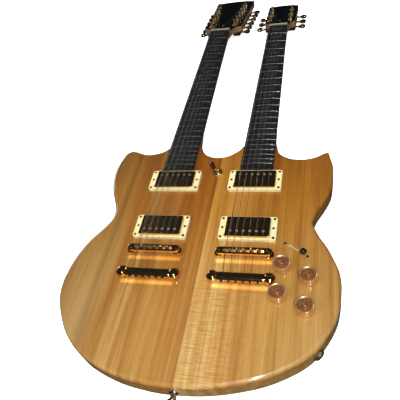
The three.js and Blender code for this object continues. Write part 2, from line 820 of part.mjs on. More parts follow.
// One strip of tuning machines: plate, housings, bushings and posts
function makeTuners(neck, sign) {
  const list = posts(neck, sign);
  const back = -headThick - seatGap;
  const first = list[0];
  const last = list.at(-1);
  const start = first.y - stripMargin;
  const end = last.y + wormOffset + stripMargin;
  const strip = new THREE.Shape([
    new THREE.Vector2(first.x - stripHalfWidth, start),
    new THREE.Vector2(first.x + stripHalfWidth, start),
    new THREE.Vector2(last.x + stripHalfWidth, end),
    new THREE.Vector2(last.x - stripHalfWidth, end),
  ]);
  let metal = solid(slab(strip, back - stripThick, back));
  const collar = plateTop + seatGap;
  const top = collar + flangeHeight;
  const profile = [
    [0, back - half(stripThick)],
    [bushingRadius, back - half(stripThick)],
    [bushingRadius, collar],
    [flangeRadius, collar],
    [flangeRadius, top],
    [postRadius, top],
    [postWaistRadius, plateTop + half(postHeight)],
    [postRadius, plateTop + postHeight],
    [0, plateTop + postHeight],
  ];
  // Housing section over the post's gear (low) and the worm (high), with the worm's height as zero
  const low = -wormOffset - housingHalfLength;
  const high = housingHalfLength;
  const z = half(housingDepth);
  const housing = new THREE.Shape([
    new THREE.Vector2(low, z),
    new THREE.Vector2(low, housingChamfer - z),
    new THREE.Vector2(low + housingChamfer, -z),
    new THREE.Vector2(high - housingChamfer, -z),
    new THREE.Vector2(high, housingChamfer - z),
    new THREE.Vector2(high, z),
  ]);
  for (const post of list) {
    metal = metal.add(solid(revolve(profile, smallSides).translate(post.x, post.y, 0)));
    const shell = slab(housing, -housingInner, housingOuter);
    shell.rotateY(half(Math.PI)).rotateX(half(Math.PI));
    const worm = bore(wormRadius + seatGap, wormReach - seatGap, housingOuter + overrun, smallSides);
    worm.rotateY(half(Math.PI));
    const wormPlace = [post.x, post.y + wormOffset, back - stripThick - z];
    metal = metal.add(solid(shell.scale(sign, 1, 1).translate(...wormPlace)));
    metal = metal.subtract(solid(worm.scale(sign, 1, 1).translate(...wormPlace)));
  }
  return metal;
}
function makeButton(sign) {
  const oval = new THREE.EllipseCurve(0, 0, half(buttonLength), half(buttonWidth)).getPoints(buttonSteps);
  const knobShape = new THREE.Shape(oval.slice(0, -1));
  const grip = slab(knobShape, -half(buttonThick), half(buttonThick), buttonRound);
  grip.translate(buttonReach, 0, 0);
  const worm = revolve(
    [[0, wormReach], [wormRadius, wormReach], [wormRadius, buttonReach], [0, buttonReach]], smallSides);
  worm.rotateY(half(Math.PI));
  return solid(grip.scale(sign, 1, 1)).add(solid(worm.scale(sign, 1, 1)));
}

function makeRing() {
  const shape = roundedRectangle(ringLength, ringWidth, ringRound);
  const window = [coverLength + 2 * seatGap, coverWidth + 2 * seatGap, coverRound + seatGap];
  shape.holes.push(roundedRectangle(...window));
  return solid(slab(shape, seatGap, seatGap + ringHeight, ringEdge));
}
function makePickup(pickup) {
  const coverShape = roundedRectangle(coverLength, coverWidth, coverRound);
  let can = solid(slab(coverShape, -coverDepth, pickup.top, coverEdge));
  const earX = half(earPlateLength);
  const earY = half(earPlateWidth);
  can = can.add(solid(block(-earX, earX, -earY, earY, -coverDepth, earPlateThick - coverDepth)));
  for (let i = 0; i < gauges.length; i += 1) {
    const x = (i - half(gauges.length - 1)) * polePitch;
    const top = pickup.top + poleHeight;
    const pole = revolve([
      [0, pickup.top - coverEdge], [poleRadius, pickup.top - coverEdge], [poleRadius, top], [0, top],
    ], smallSides);
    can = can.add(solid(pole.translate(x, pickup.poleSide * poleOffset, 0)));
  }
  return can;
}

function makeBridge() {
  const barShape = roundedRectangle(bridgeLength, bridgeWidth, half(bridgeWidth) - bridgeEndFlat);
  let bar = solid(slab(barShape, bridgeBottom, bridgeTop, bridgeEdge, 1, 2 * cornerSteps));
  const channel = roundedRectangle(channelLength, channelWidth, seatGap);
  bar = bar.subtract(solid(slab(channel, bridgeTop - channelDepth, bridgeTop + overrun, 0, 1, 1)));
  for (let i = 0; i < gauges.length; i += 1) {
    const share = i / (gauges.length - 1) - 0.5;
    const shift = saddleStagger * ((i % 3) - 1);
    const thickest = half(gauges[0]);
    const saddle = new THREE.Shape([
      new THREE.Vector2(-half(saddleDepth), bridgeTop - channelDepth - bridgeEdge),
      new THREE.Vector2(half(saddleDepth), bridgeTop - channelDepth - bridgeEdge),
      new THREE.Vector2(half(saddleDepth), bridgeTop),
      new THREE.Vector2(shift, saddleHeight - thickest - seatGap),
      new THREE.Vector2(-half(saddleDepth), bridgeTop),
    ]);
    const wedge = slab(saddle, -half(saddleWidth), half(saddleWidth));
    wedge.rotateX(half(Math.PI)).rotateZ(half(Math.PI));
    bar = bar.add(solid(wedge.translate(share * stringSpreadBridge, 0, 0)));
  }
  for (const { sign } of sides) {
    const profile = [
      [0, -bridgePostDepth],
      [bridgePostRadius, -bridgePostDepth],
      [bridgePostRadius, wheelBottom],
      [wheelRadius, wheelBottom],
      [wheelRadius, wheelBottom + wheelThick],
      [bridgePostRadius, wheelBottom + wheelThick],
      [bridgePostRadius, bridgePostTop],
      [0, bridgePostTop],
    ];
    bar = bar.add(solid(revolve(profile, boreSides).translate(sign * bridgePostHalf, 0, 0)));
  }
  return bar;
}
function makeTailpiece() {
  const wide = half(tailWidth);
  const section = new THREE.Shape();
  section.moveTo(-wide, tailBottom + tailFoot);
  section.quadraticCurveTo(-wide, tailTop, 0, tailTop);
  section.quadraticCurveTo(wide, tailTop, wide, tailBottom + tailFoot);
  section.lineTo(wide - tailFoot, tailBottom);
  section.lineTo(tailFoot - wide, tailBottom);
  const bar = slab(section, -tailBarHalf, tailBarHalf, 0, 1, 3 * cornerSteps);
  bar.rotateX(half(Math.PI)).rotateZ(half(Math.PI));
  let metal = solid(bar);
  for (const { sign } of sides) {
    const lug = revolve([
      [0, tailBottom],
      [tailLugRadius, tailBottom],
      [tailLugRadius, tailLugTop],
      [0, tailLugTop],
    ], boreSides);
    const stud = revolve([
      [0, -studDepth],
      [studShankRadius, -studDepth],
      [studShankRadius, half(tailLugTop)],
      [studRadius, half(tailLugTop)],
      [studRadius, studTop - studDome],
      [studRadius - studDome, studTop],
      [0, studTop],
    ]);
    metal = metal.add(solid(lug.translate(sign * studHalf, 0, 0)));
    metal = metal.add(solid(stud.translate(sign * studHalf, 0, 0)));
  }
  return metal;
}

// Knob with its shaft, and the potentiometer that the shaft turns in; zero height is the body's top face
function makeKnob() {
  const top = knobBottom + knobHeight;
  return solid(revolve([
    [0, -shaftDepth],
    [shaftRadius, -shaftDepth],
    [shaftRadius, knobBottom + knobHollowHeight],
    [knobHollowRadius, knobBottom + knobHollowHeight],
    [knobHollowRadius, knobBottom],
    [knobBaseRadius, knobBottom],
    [knobTopRadius, top],
    [knobTopRadius - knobRim, top],
    [knobBossRadius + knobRim, top - knobDish],
    [knobBossRadius, top - knobDish],
    [knobBossRadius, top - half(knobDish)],
    [0, top - half(knobDish)],
  ]));
}
function makePot() {
  const bottom = -topSkin - seatGap - potHeight;
  const inner = (shaftRadius + seatGap) / Math.cos(Math.PI / boreSides);
  return solid(revolve([
    [0, bottom],
    [potRadius, bottom],
    [potRadius, -topSkin - seatGap],
    [bushRadius, -topSkin - seatGap],
    [bushRadius, seatGap],
    [bushNutRadius, seatGap],
    [bushNutRadius, seatGap + bushNutHeight],
    [bushRadius, seatGap + bushNutHeight],
    [bushRadius, bushTop],
    [inner, bushTop],
    [inner, bottom + potFloor],
    [0, bottom + potFloor],
  ], boreSides));
}

function makeBladeSwitch() {
  const ceiling = -topSkin - seatGap;
  const cheekInner = half(bladeThick) + bladeSideGap;
  const cheekOuter = cheekInner + bladeFrameThick;
  const frameHalf = half(bladeFrameWidth);
  const frameEnd = half(bladeFrameLength);
  const flange = block(-frameEnd, frameEnd, -frameHalf, frameHalf, ceiling - bladeFrameThick, ceiling);
  const slot = block(
    -bladeSlotHalf, bladeSlotHalf, -cheekInner, cheekInner, ceiling - bladeFrameThick - overrun, overrun);
  let frame = solid(flange).subtract(solid(slot));
  for (const { sign } of sides) {
    const cheek = block(
      -half(bladeCheekLength), half(bladeCheekLength), cheekInner, cheekOuter,
      -bladePivotDepth - bladeCheekBelow, ceiling - half(bladeFrameThick));
    frame = frame.add(solid(cheek.scale(1, sign, 1)));
  }
  const pin = revolve([
    [0, -cheekOuter], [bladePinRadius, -cheekOuter], [bladePinRadius, cheekOuter], [0, cheekOuter],
  ], smallSides);
  return frame.add(solid(pin.rotateX(half(Math.PI)).translate(0, 0, -bladePivotDepth)));
}
// The lever stands upright round its pivot; its group leans it
function makeBladeLever() {
  const x = half(bladeWidth);
  const y = half(bladeThick);
  const blade = block(-x, x, -y, y, -bladeTail, bladeCapFrom + overrun);
  const eye = bore(bladePinRadius + seatGap, -overrun, overrun, smallSides).rotateX(half(Math.PI));
  const cap = slab(
    roundedRectangle(bladeCapWidth, bladeCapThick, bladeCapRound),
    bladeCapFrom, bladeCapFrom + bladeCapHeight, bladeCapEdge);
  return solid(blade).subtract(solid(eye)).add(solid(cap));
}

function makeToggleSwitch() {
  const bottom = -topSkin - seatGap - toggleCaseHeight;
  const throat = (toggleBallRadius + seatGap) / Math.cos(Math.PI / boreSides);
  return solid(revolve([
    [0, bottom],
    [toggleCaseRadius, bottom],
    [toggleCaseRadius, -topSkin - seatGap],
    [toggleBushRadius, -topSkin - seatGap],
    [toggleBushRadius, seatGap],
    [toggleNutRadius, seatGap],
    [toggleNutRadius, seatGap + toggleNutHeight],
    [toggleBushRadius, seatGap + toggleNutHeight],
    [toggleBushRadius, toggleBushTop],
    [toggleMouthRadius, toggleBushTop],
    [throat, togglePivotHeight + half(toggleBallRadius)],
    [throat, -toggleWellDepth],
    [0, -toggleWellDepth],
  ], boreSides));
}
// The lever stands upright round its ball; its group leans it
function makeToggleLever() {
  const tipEnd = toggleRodLength + toggleTipLength;
  const shoulder = toggleBallRadius * Math.cos(Math.asin(half(1)));
  return solid(revolve([
    [0, -toggleBallRadius],
    [shoulder, -half(toggleBallRadius)],
    [toggleBallRadius, 0],
    [shoulder, half(toggleBallRadius)],
    [toggleRodRadius, toggleBallRadius],
    [toggleRodRadius, toggleRodLength],
    [toggleTipNeckRadius, toggleRodLength],
    [toggleTipRadius, tipEnd - toggleTipRadius],
    [toggleTipEndRadius, tipEnd - toggleTipDome],
    [0, tipEnd],
  ], boreSides));
}

function makeStrapButton() {
  return solid(revolve([
    [0, -strapScrewDepth],
    [strapScrewRadius, -strapScrewDepth],
    [strapScrewRadius, 0],
    [strapBaseRadius, 0],
    [strapNeckRadius, strapNeckLow],
    [strapNeckRadius, strapNeckHigh],
    [strapFlangeRadius, strapHeight - strapFlangeEdge - strapFlangeEdge],
    [strapFlangeRadius, strapHeight - strapFlangeEdge],
    [strapFlangeRadius - strapFlangeEdge, strapHeight],
    [0, strapHeight],
  ], boreSides));
}
function makeJack() {
  const inner = jackBoreRadius / Math.cos(Math.PI / boreSides);
  const washerTop = seatGap + jackWasherThick;
  return solid(revolve([
    [inner, -jackDepth],
    [jackBarrelRadius, -jackDepth],
    [jackBarrelRadius, seatGap],
    [jackWasherRadius, seatGap],
    [jackWasherRadius, washerTop],
    [jackNutRadius, washerTop],
    [jackNutRadius, washerTop + jackNutHeight],
    [inner, washerTop + jackNutHeight],
    [inner, -jackDepth],
  ], boreSides));
}

// Assembly
const guitar = new THREE.Group();
function place(parent, mesh, x = 0, y = 0, z = 0) {
  mesh.position.set(x, y, z);
  parent.add(mesh);
  return mesh;
}
place(guitar, meshOf('body', makeBody(), bodyWood));

for (const neck of necks) {
  const { name, deck, group, head } = neck;
  guitar.add(deck);
  place(group, meshOf(`neck_${name}`, makeNeck(neck), neckWood));
  place(group, meshOf(`fretboard_${name}`, makeFretboard(neck), fretboardWood));
  place(deck, meshOf(`nut_and_strings_${name}`, makeNutAndStrings(neck), boneWhite));
  place(head, meshOf(`headplate_${name}`, makeHeadplate(neck), blackGloss));
  for (const side of sides) {
    place(head, meshOf(`tuners_${name}_${side.name}`, makeTuners(neck, side.sign), goldPlate));
    posts(neck, side.sign).forEach((post, i) => {
      const button = meshOf(`button_${name}_${side.name}_${i + 1}`, makeButton(side.sign), goldPlate);
      const low = -headThick - seatGap - stripThick - half(housingDepth);
      place(head, button, post.x, post.y + wormOffset, low);
    });
  }
  for (const pickup of pickups) {
    place(deck, meshOf(`ring_${name}_${pickup.name}`, makeRing(), creamPlastic), 0, pickup.y);
    place(deck, meshOf(`pickup_${name}_${pickup.name}`, makePickup(pickup), goldPlate), 0, pickup.y);
  }
  place(deck, meshOf(`bridge_${name}`, makeBridge(), goldPlate), 0, bridgeY);
  place(deck, meshOf(`tailpiece_${name}`, makeTailpiece(), goldPlate), 0, tailY);
}
leftNeck.group.add(heelStrap);
heelStrap.add(meshOf('strap_button_heel', makeStrapButton(), goldPlate));

for (const knob of knobs) {
  place(guitar, meshOf(`knob_${knob.name}`, makeKnob(), amberPlastic), knob.x, knob.y, bodyThick);
  place(guitar, meshOf(`pot_${knob.name}`, makePot(), greySteel), knob.x, knob.y, bodyThick);
}

guitar.add(bladeGroup);
bladeGroup.add(meshOf('blade_switch', makeBladeSwitch(), greySteel));
const bladeLever = meshOf('blade_lever', makeBladeLever(), blackMatt);
place(bladeGroup, bladeLever, 0, 0, -bladePivotDepth);
bladeLever.rotation.y = turn(bladeLeanDegrees);

place(guitar, meshOf('toggle_switch', makeToggleSwitch(), goldPlate), toggleX, toggleY, bodyThick);
const toggleLever = meshOf('toggle_lever', makeToggleLever(), darkAmber);
place(guitar, toggleLever, toggleX, toggleY, bodyThick + togglePivotHeight);
toggleLever.rotation.y = -turn(toggleLeanDegrees);

const coverZ = [seatGap, seatGap + coverThick];
const controlCover = solid(slab(cavityShape(coverLedge), ...coverZ));
place(guitar, meshOf('control_cover', controlCover, blackMatt), cavityX, cavityY);
const switchCover = solid(slab(circle(toggleCavityRadius + coverLedge, discSteps), ...coverZ));
place(guitar, meshOf('switch_cover', switchCover, blackMatt), toggleX, toggleY);

guitar.add(strapGroup);
strapGroup.add(meshOf('strap_button_end', makeStrapButton(), goldPlate));
guitar.add(jackGroup);
jackGroup.add(meshOf('output_jack', makeJack(), goldPlate));

export default guitar;
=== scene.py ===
import bpy
import math
from mathutils import Matrix, Vector


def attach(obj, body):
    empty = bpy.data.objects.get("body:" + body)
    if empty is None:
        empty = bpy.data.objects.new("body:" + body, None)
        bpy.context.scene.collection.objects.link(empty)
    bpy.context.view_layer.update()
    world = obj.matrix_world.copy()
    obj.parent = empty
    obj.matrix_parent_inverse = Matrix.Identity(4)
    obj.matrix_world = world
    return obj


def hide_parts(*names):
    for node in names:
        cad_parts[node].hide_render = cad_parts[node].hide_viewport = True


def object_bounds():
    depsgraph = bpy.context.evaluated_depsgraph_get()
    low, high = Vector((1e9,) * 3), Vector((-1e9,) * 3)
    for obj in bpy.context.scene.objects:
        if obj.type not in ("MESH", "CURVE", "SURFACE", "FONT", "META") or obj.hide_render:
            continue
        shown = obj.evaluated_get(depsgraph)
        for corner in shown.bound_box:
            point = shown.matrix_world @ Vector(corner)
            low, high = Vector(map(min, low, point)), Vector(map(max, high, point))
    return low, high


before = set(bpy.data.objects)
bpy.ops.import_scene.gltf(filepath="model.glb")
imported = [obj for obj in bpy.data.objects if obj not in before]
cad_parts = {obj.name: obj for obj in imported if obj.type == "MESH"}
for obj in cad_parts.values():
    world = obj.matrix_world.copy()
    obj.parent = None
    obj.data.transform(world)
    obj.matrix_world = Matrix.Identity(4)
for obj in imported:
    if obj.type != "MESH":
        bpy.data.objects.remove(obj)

cad_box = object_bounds()
mm = 0.001

# Camera and studio: the guitar lies face up over a pale matt floor. The key lamp stands by the camera, two
# wide lamps fill in, one on the left catches the strings and one low in front catches the near edges. The
# room beyond is dim, so polished metal and lacquer turn dark on top.
lens_px = 472.54
frame_px = 400
sensor_mm = 36
camera_place = (0.19301, -0.39809, 0.60737)
camera_right = (0.963629, 0.182424, -0.195299)
camera_up = (-0.008167, 0.750546, 0.660767)
floor_drop = 0.004
floor_size = 8
room_colour = "a8b6dc"
room_strength = 0.045
lamps = [
    ("key_lamp", (0.2, -0.5, 0.84), 2.0, 5, True),
    ("fill_lamp", (-0.62, -0.42, 0.66), 1.2, 40, False),
    ("top_lamp", (0.25, -0.15, 0.95), 1.5, 60, False),
    ("string_lamp", (-0.74, 0.63, 0.26), 0.75, 24, True),
    ("low_lamp", (0.3, -0.85, 0.42), 0.9, 6, True),
]

bpy.ops.object.select_all(action="DESELECT")
bpy.ops.object.camera_add()
camera = bpy.context.object
camera.name = "camera"
camera.data.sensor_width = sensor_mm
camera.data.lens = lens_px / frame_px * sensor_mm
camera_back = Vector(camera_right).cross(Vector(camera_up))
axes = Matrix((camera_right, camera_up, camera_back)).transposed()
camera.matrix_world = Matrix.Translation(camera_place) @ axes.to_4x4()
bpy.context.scene.camera = camera


def linear(colour):
    """An sRGB hex colour as linear red, green, blue and alpha."""
    channels = [int(colour[i:i + 2], 16) / 255 for i in (0, 2, 4)]
    return (*(c / 12.92 if c < 0.04045 else ((c + 0.055) / 1.055) ** 2.4 for c in channels), 1)


def add_node(tree, kind, inputs=None, stops=None, **settings):
    """One more node, with its settings, its input values or links, and the stops of its colour ramp."""
    node = tree.nodes.new(kind)
    for name, value in settings.items():
        setattr(node, name, value)
    for name, value in (inputs or {}).items():
        if isinstance(value, bpy.types.NodeSocket):
            tree.links.new(value, node.inputs[name])
        else:
            node.inputs[name].default_value = value
    if stops:
        elements = node.color_ramp.elements
        elements.remove(elements[1])
        elements[0].position = stops[0][0]
        elements[0].color = linear(stops[0][1])
        for place, colour in stops[1:]:
            elements.new(place).color = linear(colour)
    return node


def new_finish(name, layers, rough=None, bump=None, **values):
    """A material whose colour is the product of its layers. A layer is noise drawn out to spacings in metres
    along X, Y and Z, with its colour stops, or none, and its detail. rough names a layer and the two values
    that roughness wanders between by that layer's height. bump names a layer, a depth and a strength. The
    other values are the shader's plain ones."""
    material = bpy.data.materials.new(name)
    material.use_nodes = True
    tree = material.node_tree
    sockets = tree.nodes["Principled BSDF"].inputs
    for socket, value in values.items():
        sockets[socket.replace("_", " ")].default_value = value
    place = add_node(tree, "ShaderNodeTexCoord").outputs["Object"]
    colour, heights = None, []
    for spacing, stops, detail in layers:
        size = add_node(tree, "ShaderNodeMapping", {"Vector": place, "Scale": [1 / step for step in spacing]})
        height = add_node(tree, "ShaderNodeTexNoise", {
            "Vector": size.outputs[0], "Scale": 1, "Detail": detail}).outputs[0]
        heights.append(height)
        if stops:
            tone = add_node(tree, "ShaderNodeValToRGB", {0: height}, stops=stops).outputs[0]
            if colour:
                tone = add_node(
                    tree, "ShaderNodeMix", {0: 1, 6: colour, 7: tone}, data_type="RGBA",
                    blend_type="MULTIPLY").outputs[2]
            colour = tone
    if colour:
        tree.links.new(colour, sockets["Base Color"])
    if rough:
        layer, low, high = rough
        spread = add_node(
            tree, "ShaderNodeMapRange", {"Value": heights[layer], "To Min": low, "To Max": high})
        tree.links.new(spread.outputs[0], sockets["Roughness"])
    if bump:
        layer, depth, strength = bump
        ripple = add_node(
            tree, "ShaderNodeBump", {"Height": heights[layer], "Strength": strength, "Distance": depth})
        tree.links.new(ripple.outputs[0], sockets["Normal"])
    return material


def finish_as(piece, material):
    piece.data.materials.clear()
    piece.data.materials.append(material)


# The floor is a lit white acrylic sheet with a faint mottle, 300 mm across, so shadows on it stay light.
floor_paint = new_finish(
    "lit_matt_white_acrylic", [((0.3,) * 3, [(0.3, "f4f4f3"), (0.7, "f8f8f7")], 2)],
    Roughness=0.9, Specular_IOR_Level=0.1, Emission_Strength=0.8, Emission_Color=linear("ffffff"))

bpy.ops.mesh.primitive_plane_add(size=floor_size, location=(0, 0, cad_box[0][2] - floor_drop))
floor = bpy.context.object
floor.name = "floor"
finish_as(floor, floor_paint)
floor.visible_glossy = False
floor.visible_diffuse = False

for name, toward, strength, spread, mirrored in lamps:
    bpy.ops.object.light_add(type="SUN")
    lamp = bpy.context.object
    lamp.name = name
    lamp.data.energy = strength
    lamp.data.angle = math.radians(spread)
    lamp.rotation_euler = Vector(toward).to_track_quat("Z", "Y").to_euler()
    lamp.visible_glossy = mirrored

world = bpy.data.worlds.new("dim_studio")
world.use_nodes = True
world.node_tree.nodes["Background"].inputs["Color"].default_value = linear(room_colour)
world.node_tree.nodes["Background"].inputs["Strength"].default_value = room_strength
bpy.context.scene.world = world
bpy.context.scene.view_settings.view_transform = "Standard"

# Body: a slab of honey-coloured strips glued side by side along the necks, edges rounded over on the
# router, cavities cut from the back, then grain filled and sprayed with clear gloss lacquer.
body_thick = 34 * mm
body_half_width = 209 * mm
body_lower = 206 * mm
body_upper = 237 * mm
body_round = 6 * mm
corner_round = 1.2 * mm
corner_fade = 16 * mm
round_steps = 6
outline_steps = 8
neck_spacing = 140.3 * mm
neck_rise = 4.8 * mm
neck_tilt = math.radians(0.47)
seat_gap = 0.3 * mm
shoulder = 1.5 * mm
board_end = 169.2 * mm
board_end_width = 57 * mm
scale_length = 648 * mm
nut_widths = {"12": 47 * mm, "6": 43 * mm}
neck_places = {"12": -neck_spacing / 2, "6": neck_spacing / 2}
cutaway_depth = 27.7 * mm

# Outline as shares: x of the half width, y of the upper length above zero and of the lower length below
left_horn_shares = [
    (-0.569, 0.949), (-0.675, 0.93), (-0.746, 0.945), (-0.799, 0.966), (-0.855, 0.97), (-0.898, 0.943),
    (-0.928, 0.857), (-0.941, 0.743), (-0.923, 0.629), (-0.89, 0.536), (-0.842, 0.443), (-0.804, 0.365),
    (-0.794, 0.287), (-0.813, 0.222), (-0.859, 0.152), (-0.916, 0.072), (-0.957, -0.019), (-0.986, -0.131),
]
lower_bout_shares = [
    (-1, -0.25), (-0.998, -0.33), (-0.981, -0.427), (-0.933, -0.539), (-0.809, -0.723), (-0.627, -0.869),
    (-0.388, -0.961), (-0.148, -0.998), (0.022, -1), (0.189, -0.985), (0.368, -0.947), (0.598, -0.864),
    (0.823, -0.709), (0.962, -0.476), (0.995, -0.262), (0.986, -0.121),
]
right_horn_shares = [
    (0.947, -0.01), (0.9, 0.082), (0.847, 0.16), (0.809, 0.236), (0.799, 0.27), (0.818, 0.342),
    (0.878, 0.451), (0.923, 0.553), (0.938, 0.688), (0.935, 0.802), (0.901, 0.909),
]
right_cutaway_shares = [
    (0.856, 0.901), (0.789, 0.869), (0.713, 0.852), (0.622, 0.857), (0.56, 0.878), (0.498, 0.928),
]
middle_cutaway_shares = [(0.68, 0.48), (0.32, 0.874), (-0.02, 1), (-0.35, 0.953), (-0.76, 0.592)]


def smooth_line(points, steps):
    """A smooth line through the points, steps to each stretch, without its last point."""
    points = [Vector(point) for point in points]
    points = [2 * points[0] - points[1], *points, 2 * points[-1] - points[-2]]
    line = []
    for a, b, c, d in zip(points, points[1:], points[2:], points[3:]):
        t1 = (b - a).length ** 0.5
        t2 = t1 + (c - b).length ** 0.5
        t3 = t2 + (d - c).length ** 0.5
        for step in range(steps):
            t = t1 + (t2 - t1) * step / steps
            ab, bc, cd = a.lerp(b, t / t1), b.lerp(c, (t - t1) / (t2 - t1)), c.lerp(d, (t - t2) / (t3 - t2))
            near, far = ab.lerp(bc, t / t2), bc.lerp(cd, (t - t1) / (t3 - t1))
            line.append(near.lerp(far, (t - t1) / (t2 - t1)))
    return line


def board_half(neck, y):
    """Half the width of a fretboard at a place along the scale."""
    share = (y - board_end) / (scale_length - board_end)
    return (board_end_width + (nut_widths[neck] - board_end_width) * share) / 2


def body_point(share):
    x, y = share
    return x * body_half_width, y * (body_upper if y > 0 else body_lower)


def body_outline():
    """The body's outline, and its corners, which are hardly rounded."""
    half_pocket = {neck: board_half(neck, body_upper) + seat_gap + shoulder for neck in neck_places}
    left, right = neck_places["12"], neck_places["6"]
    corners = [
        Vector((left - half_pocket["12"], body_upper)), Vector((left + half_pocket["12"], body_upper)),
        Vector((right - half_pocket["6"], body_upper)), Vector((right + half_pocket["6"], body_upper)),
        Vector(body_point(right_horn_shares[-1])),
    ]
    middle = (corners[1] + corners[2]) / 2
    gap = (corners[2].x - corners[1].x) / 2
    side = [body_point(share) for share in left_horn_shares + lower_bout_shares + right_horn_shares]
    cutaway = [body_point(share) for share in right_cutaway_shares]
    between = [(middle.x + x * gap, body_upper - y * cutaway_depth) for x, y in middle_cutaway_shares]
    line = smooth_line([corners[0], *side], outline_steps)
    line += smooth_line([corners[4], *cutaway, corners[3]], outline_steps)
    line += smooth_line([corners[3], corners[2]], outline_steps)
    line += smooth_line([corners[2], *between, corners[1]], outline_steps)
    line += smooth_line([corners[1], corners[0]], outline_steps)
    return line, corners


def select_only(*pieces):
    """Selects these pieces and no others, with the first one active."""
    bpy.ops.object.select_all(action="DESELECT")
    for piece in pieces:
        piece.select_set(True)
    bpy.context.view_layer.objects.active = pieces[0]


def pick(piece, test, kind="FACE"):
    """Selects the faces or edges whose middle and direction pass the test, and stays in edit mode."""
    select_only(piece)
    bpy.ops.object.mode_set(mode="EDIT")
    bpy.ops.mesh.select_mode(type=kind)
    bpy.ops.mesh.select_all(action="DESELECT")
    bpy.ops.object.mode_set(mode="OBJECT")
    if kind == "FACE":
        for face in piece.data.polygons:
            face.select = bool(test(face.center, face.normal))
    else:
        for edge in piece.data.edges:
            a, b = (piece.data.vertices[i].co for i in edge.vertices)
            edge.select = bool(test((a + b) / 2, b - a))
    bpy.ops.object.mode_set(mode="EDIT")


def recalculate(piece):
    """Turns every face of a closed piece outwards."""
    pick(piece, lambda middle, normal: True)
    bpy.ops.mesh.normals_make_consistent(inside=False)
    bpy.ops.object.mode_set(mode="OBJECT")


def tube_of_sections(name, sections):
    """A closed tube through sections with equally many points: a cylinder cut into rings, each ring then
    moved to its section."""
    sides, last = len(sections[0]), len(sections) - 1
    bpy.ops.object.select_all(action="DESELECT")
    bpy.ops.mesh.primitive_cylinder_add(vertices=sides, depth=last, location=(0, 0, last / 2))
    bpy.ops.object.transform_apply(location=True)
    piece = bpy.context.object
    piece.name = name
    if last > 1:
        pick(piece, lambda middle, along: abs(along.z) > 0.5, "EDGE")
        bpy.ops.mesh.subdivide(number_cuts=last - 1)
    bpy.ops.object.mode_set(mode="OBJECT")
    for corner in piece.data.vertices:
        turn = math.atan2(corner.co.x, corner.co.y) / math.tau * sides
        corner.co = sections[round(corner.co.z)][round(turn) % sides]
    recalculate(piece)
    return piece


def prism(name, outline, z0, z1):
    """A flat-ended piece of the outline's shape between two heights."""
    return tube_of_sections(name, [[(*point[:2], z) for point in outline] for z in (z0, z1)])


def apply_modifier(piece, kind, **settings):
    """Adds a modifier and applies it at once."""
    select_only(piece)
    bpy.ops.object.modifier_add(type=kind)
    modifier = piece.modifiers[-1]
    for name, value in settings.items():
        setattr(modifier, name, value)
    bpy.ops.object.modifier_apply(modifier=modifier.name)


def smooth(piece, degrees):
    """Shades a piece smooth up to an angle, while its large flat faces stay flat."""
    select_only(piece)
    bpy.ops.object.shade_smooth_by_angle(angle=math.radians(degrees))
    apply_modifier(piece, "WEIGHTED_NORMAL", keep_sharp=True)


def cut(piece, cutter, **settings):
    """Takes the cutter's space out of the piece."""
    apply_modifier(piece, "BOOLEAN", operation="DIFFERENCE", solver="EXACT", object=cutter, **settings)
    bpy.data.objects.remove(cutter)


def move(piece, matrix):
    """Puts a finished piece in its place, with the place kept in its mesh."""
    select_only(piece)
    piece.matrix_world = matrix
    bpy.ops.object.transform_apply(location=True, rotation=True, scale=True)
    return piece


def ellipse(radius_x, radius_y, sides, centre=(0, 0)):
    turns = [math.tau * i / sides for i in range(sides)]
    return [(centre[0] + radius_x * math.cos(a), centre[1] + radius_y * math.sin(a)) for a in turns]


def seat(piece, body, slot, *nodes):
    """Says which body a piece rides on and which plain solids it stands for; its finish slot is not used."""
    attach(piece, body)
    if nodes:
        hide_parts(*nodes)


outline, corners = body_outline()
rises = [body_round * (1 - math.cos(math.pi / 2 * step / round_steps)) for step in range(round_steps + 1)]
insets = [body_round * (1 - math.sin(math.pi / 2 * step / round_steps)) for step in range(round_steps + 1)]
levels = list(zip(rises, insets)) + [(body_thick - z, inset) for z, inset in zip(rises[::-1], insets[::-1])]
sections = []
for level, (height, inset) in enumerate(levels):
    section = []
    for i, point in enumerate(outline):
        along = outline[(i + 1) % len(outline)] - outline[i - 1]
        inward = Vector((-along.y, along.x)).normalized()
        fade = min(1, min((point - corner).length for corner in corners) / corner_fade)
        size = (corner_round + (body_round - corner_round) * fade * fade * (3 - 2 * fade)) / body_round
        place = point + inward * inset * size
        z = body_thick - (body_thick - height) * size if level > round_steps else height * size
        section.append((place.x, place.y, z))
    sections.append(section)
body = tube_of_sections("body", sections)

# The control cavity and the toggle switch's round one, each with a ledge for its cover.
cavity_place = (145 * mm, -37 * mm)
cavity_halves = (41 * mm, 73 * mm)
cavity_shares = [
    (-0.93, 0.86), (-0.41, 1.01), (0.37, 0.78), (0.9, 0.4), (1, -0.18),
    (0.93, -0.75), (0.44, -1), (-0.37, -0.84), (-0.9, -0.64), (-1, 0.1),
]
top_skin = 6 * mm
cover_ledge = 7 * mm
cover_thick = 2 * mm
overrun = 3 * mm
toggle_place = (2.7 * mm, 166.9 * mm)
toggle_cavity_radius = 17 * mm
round_sides = 48
cover_recess = cover_thick + 2 * seat_gap


def cavity_outline(grow):
    (x, y), (half_x, half_y) = cavity_place, cavity_halves
    points = [(x + a * (half_x + grow), y + b * (half_y + grow)) for a, b in cavity_shares]
    return smooth_line([*points, points[0]], outline_steps)


for grow, z1 in ((0, body_thick - top_skin), (cover_ledge + seat_gap, cover_recess)):
    radius = toggle_cavity_radius + grow
    for edge in (cavity_outline(grow), ellipse(radius, radius, round_sides, toggle_place)):
        cut(body, prism("cutter", edge, -overrun, z1))

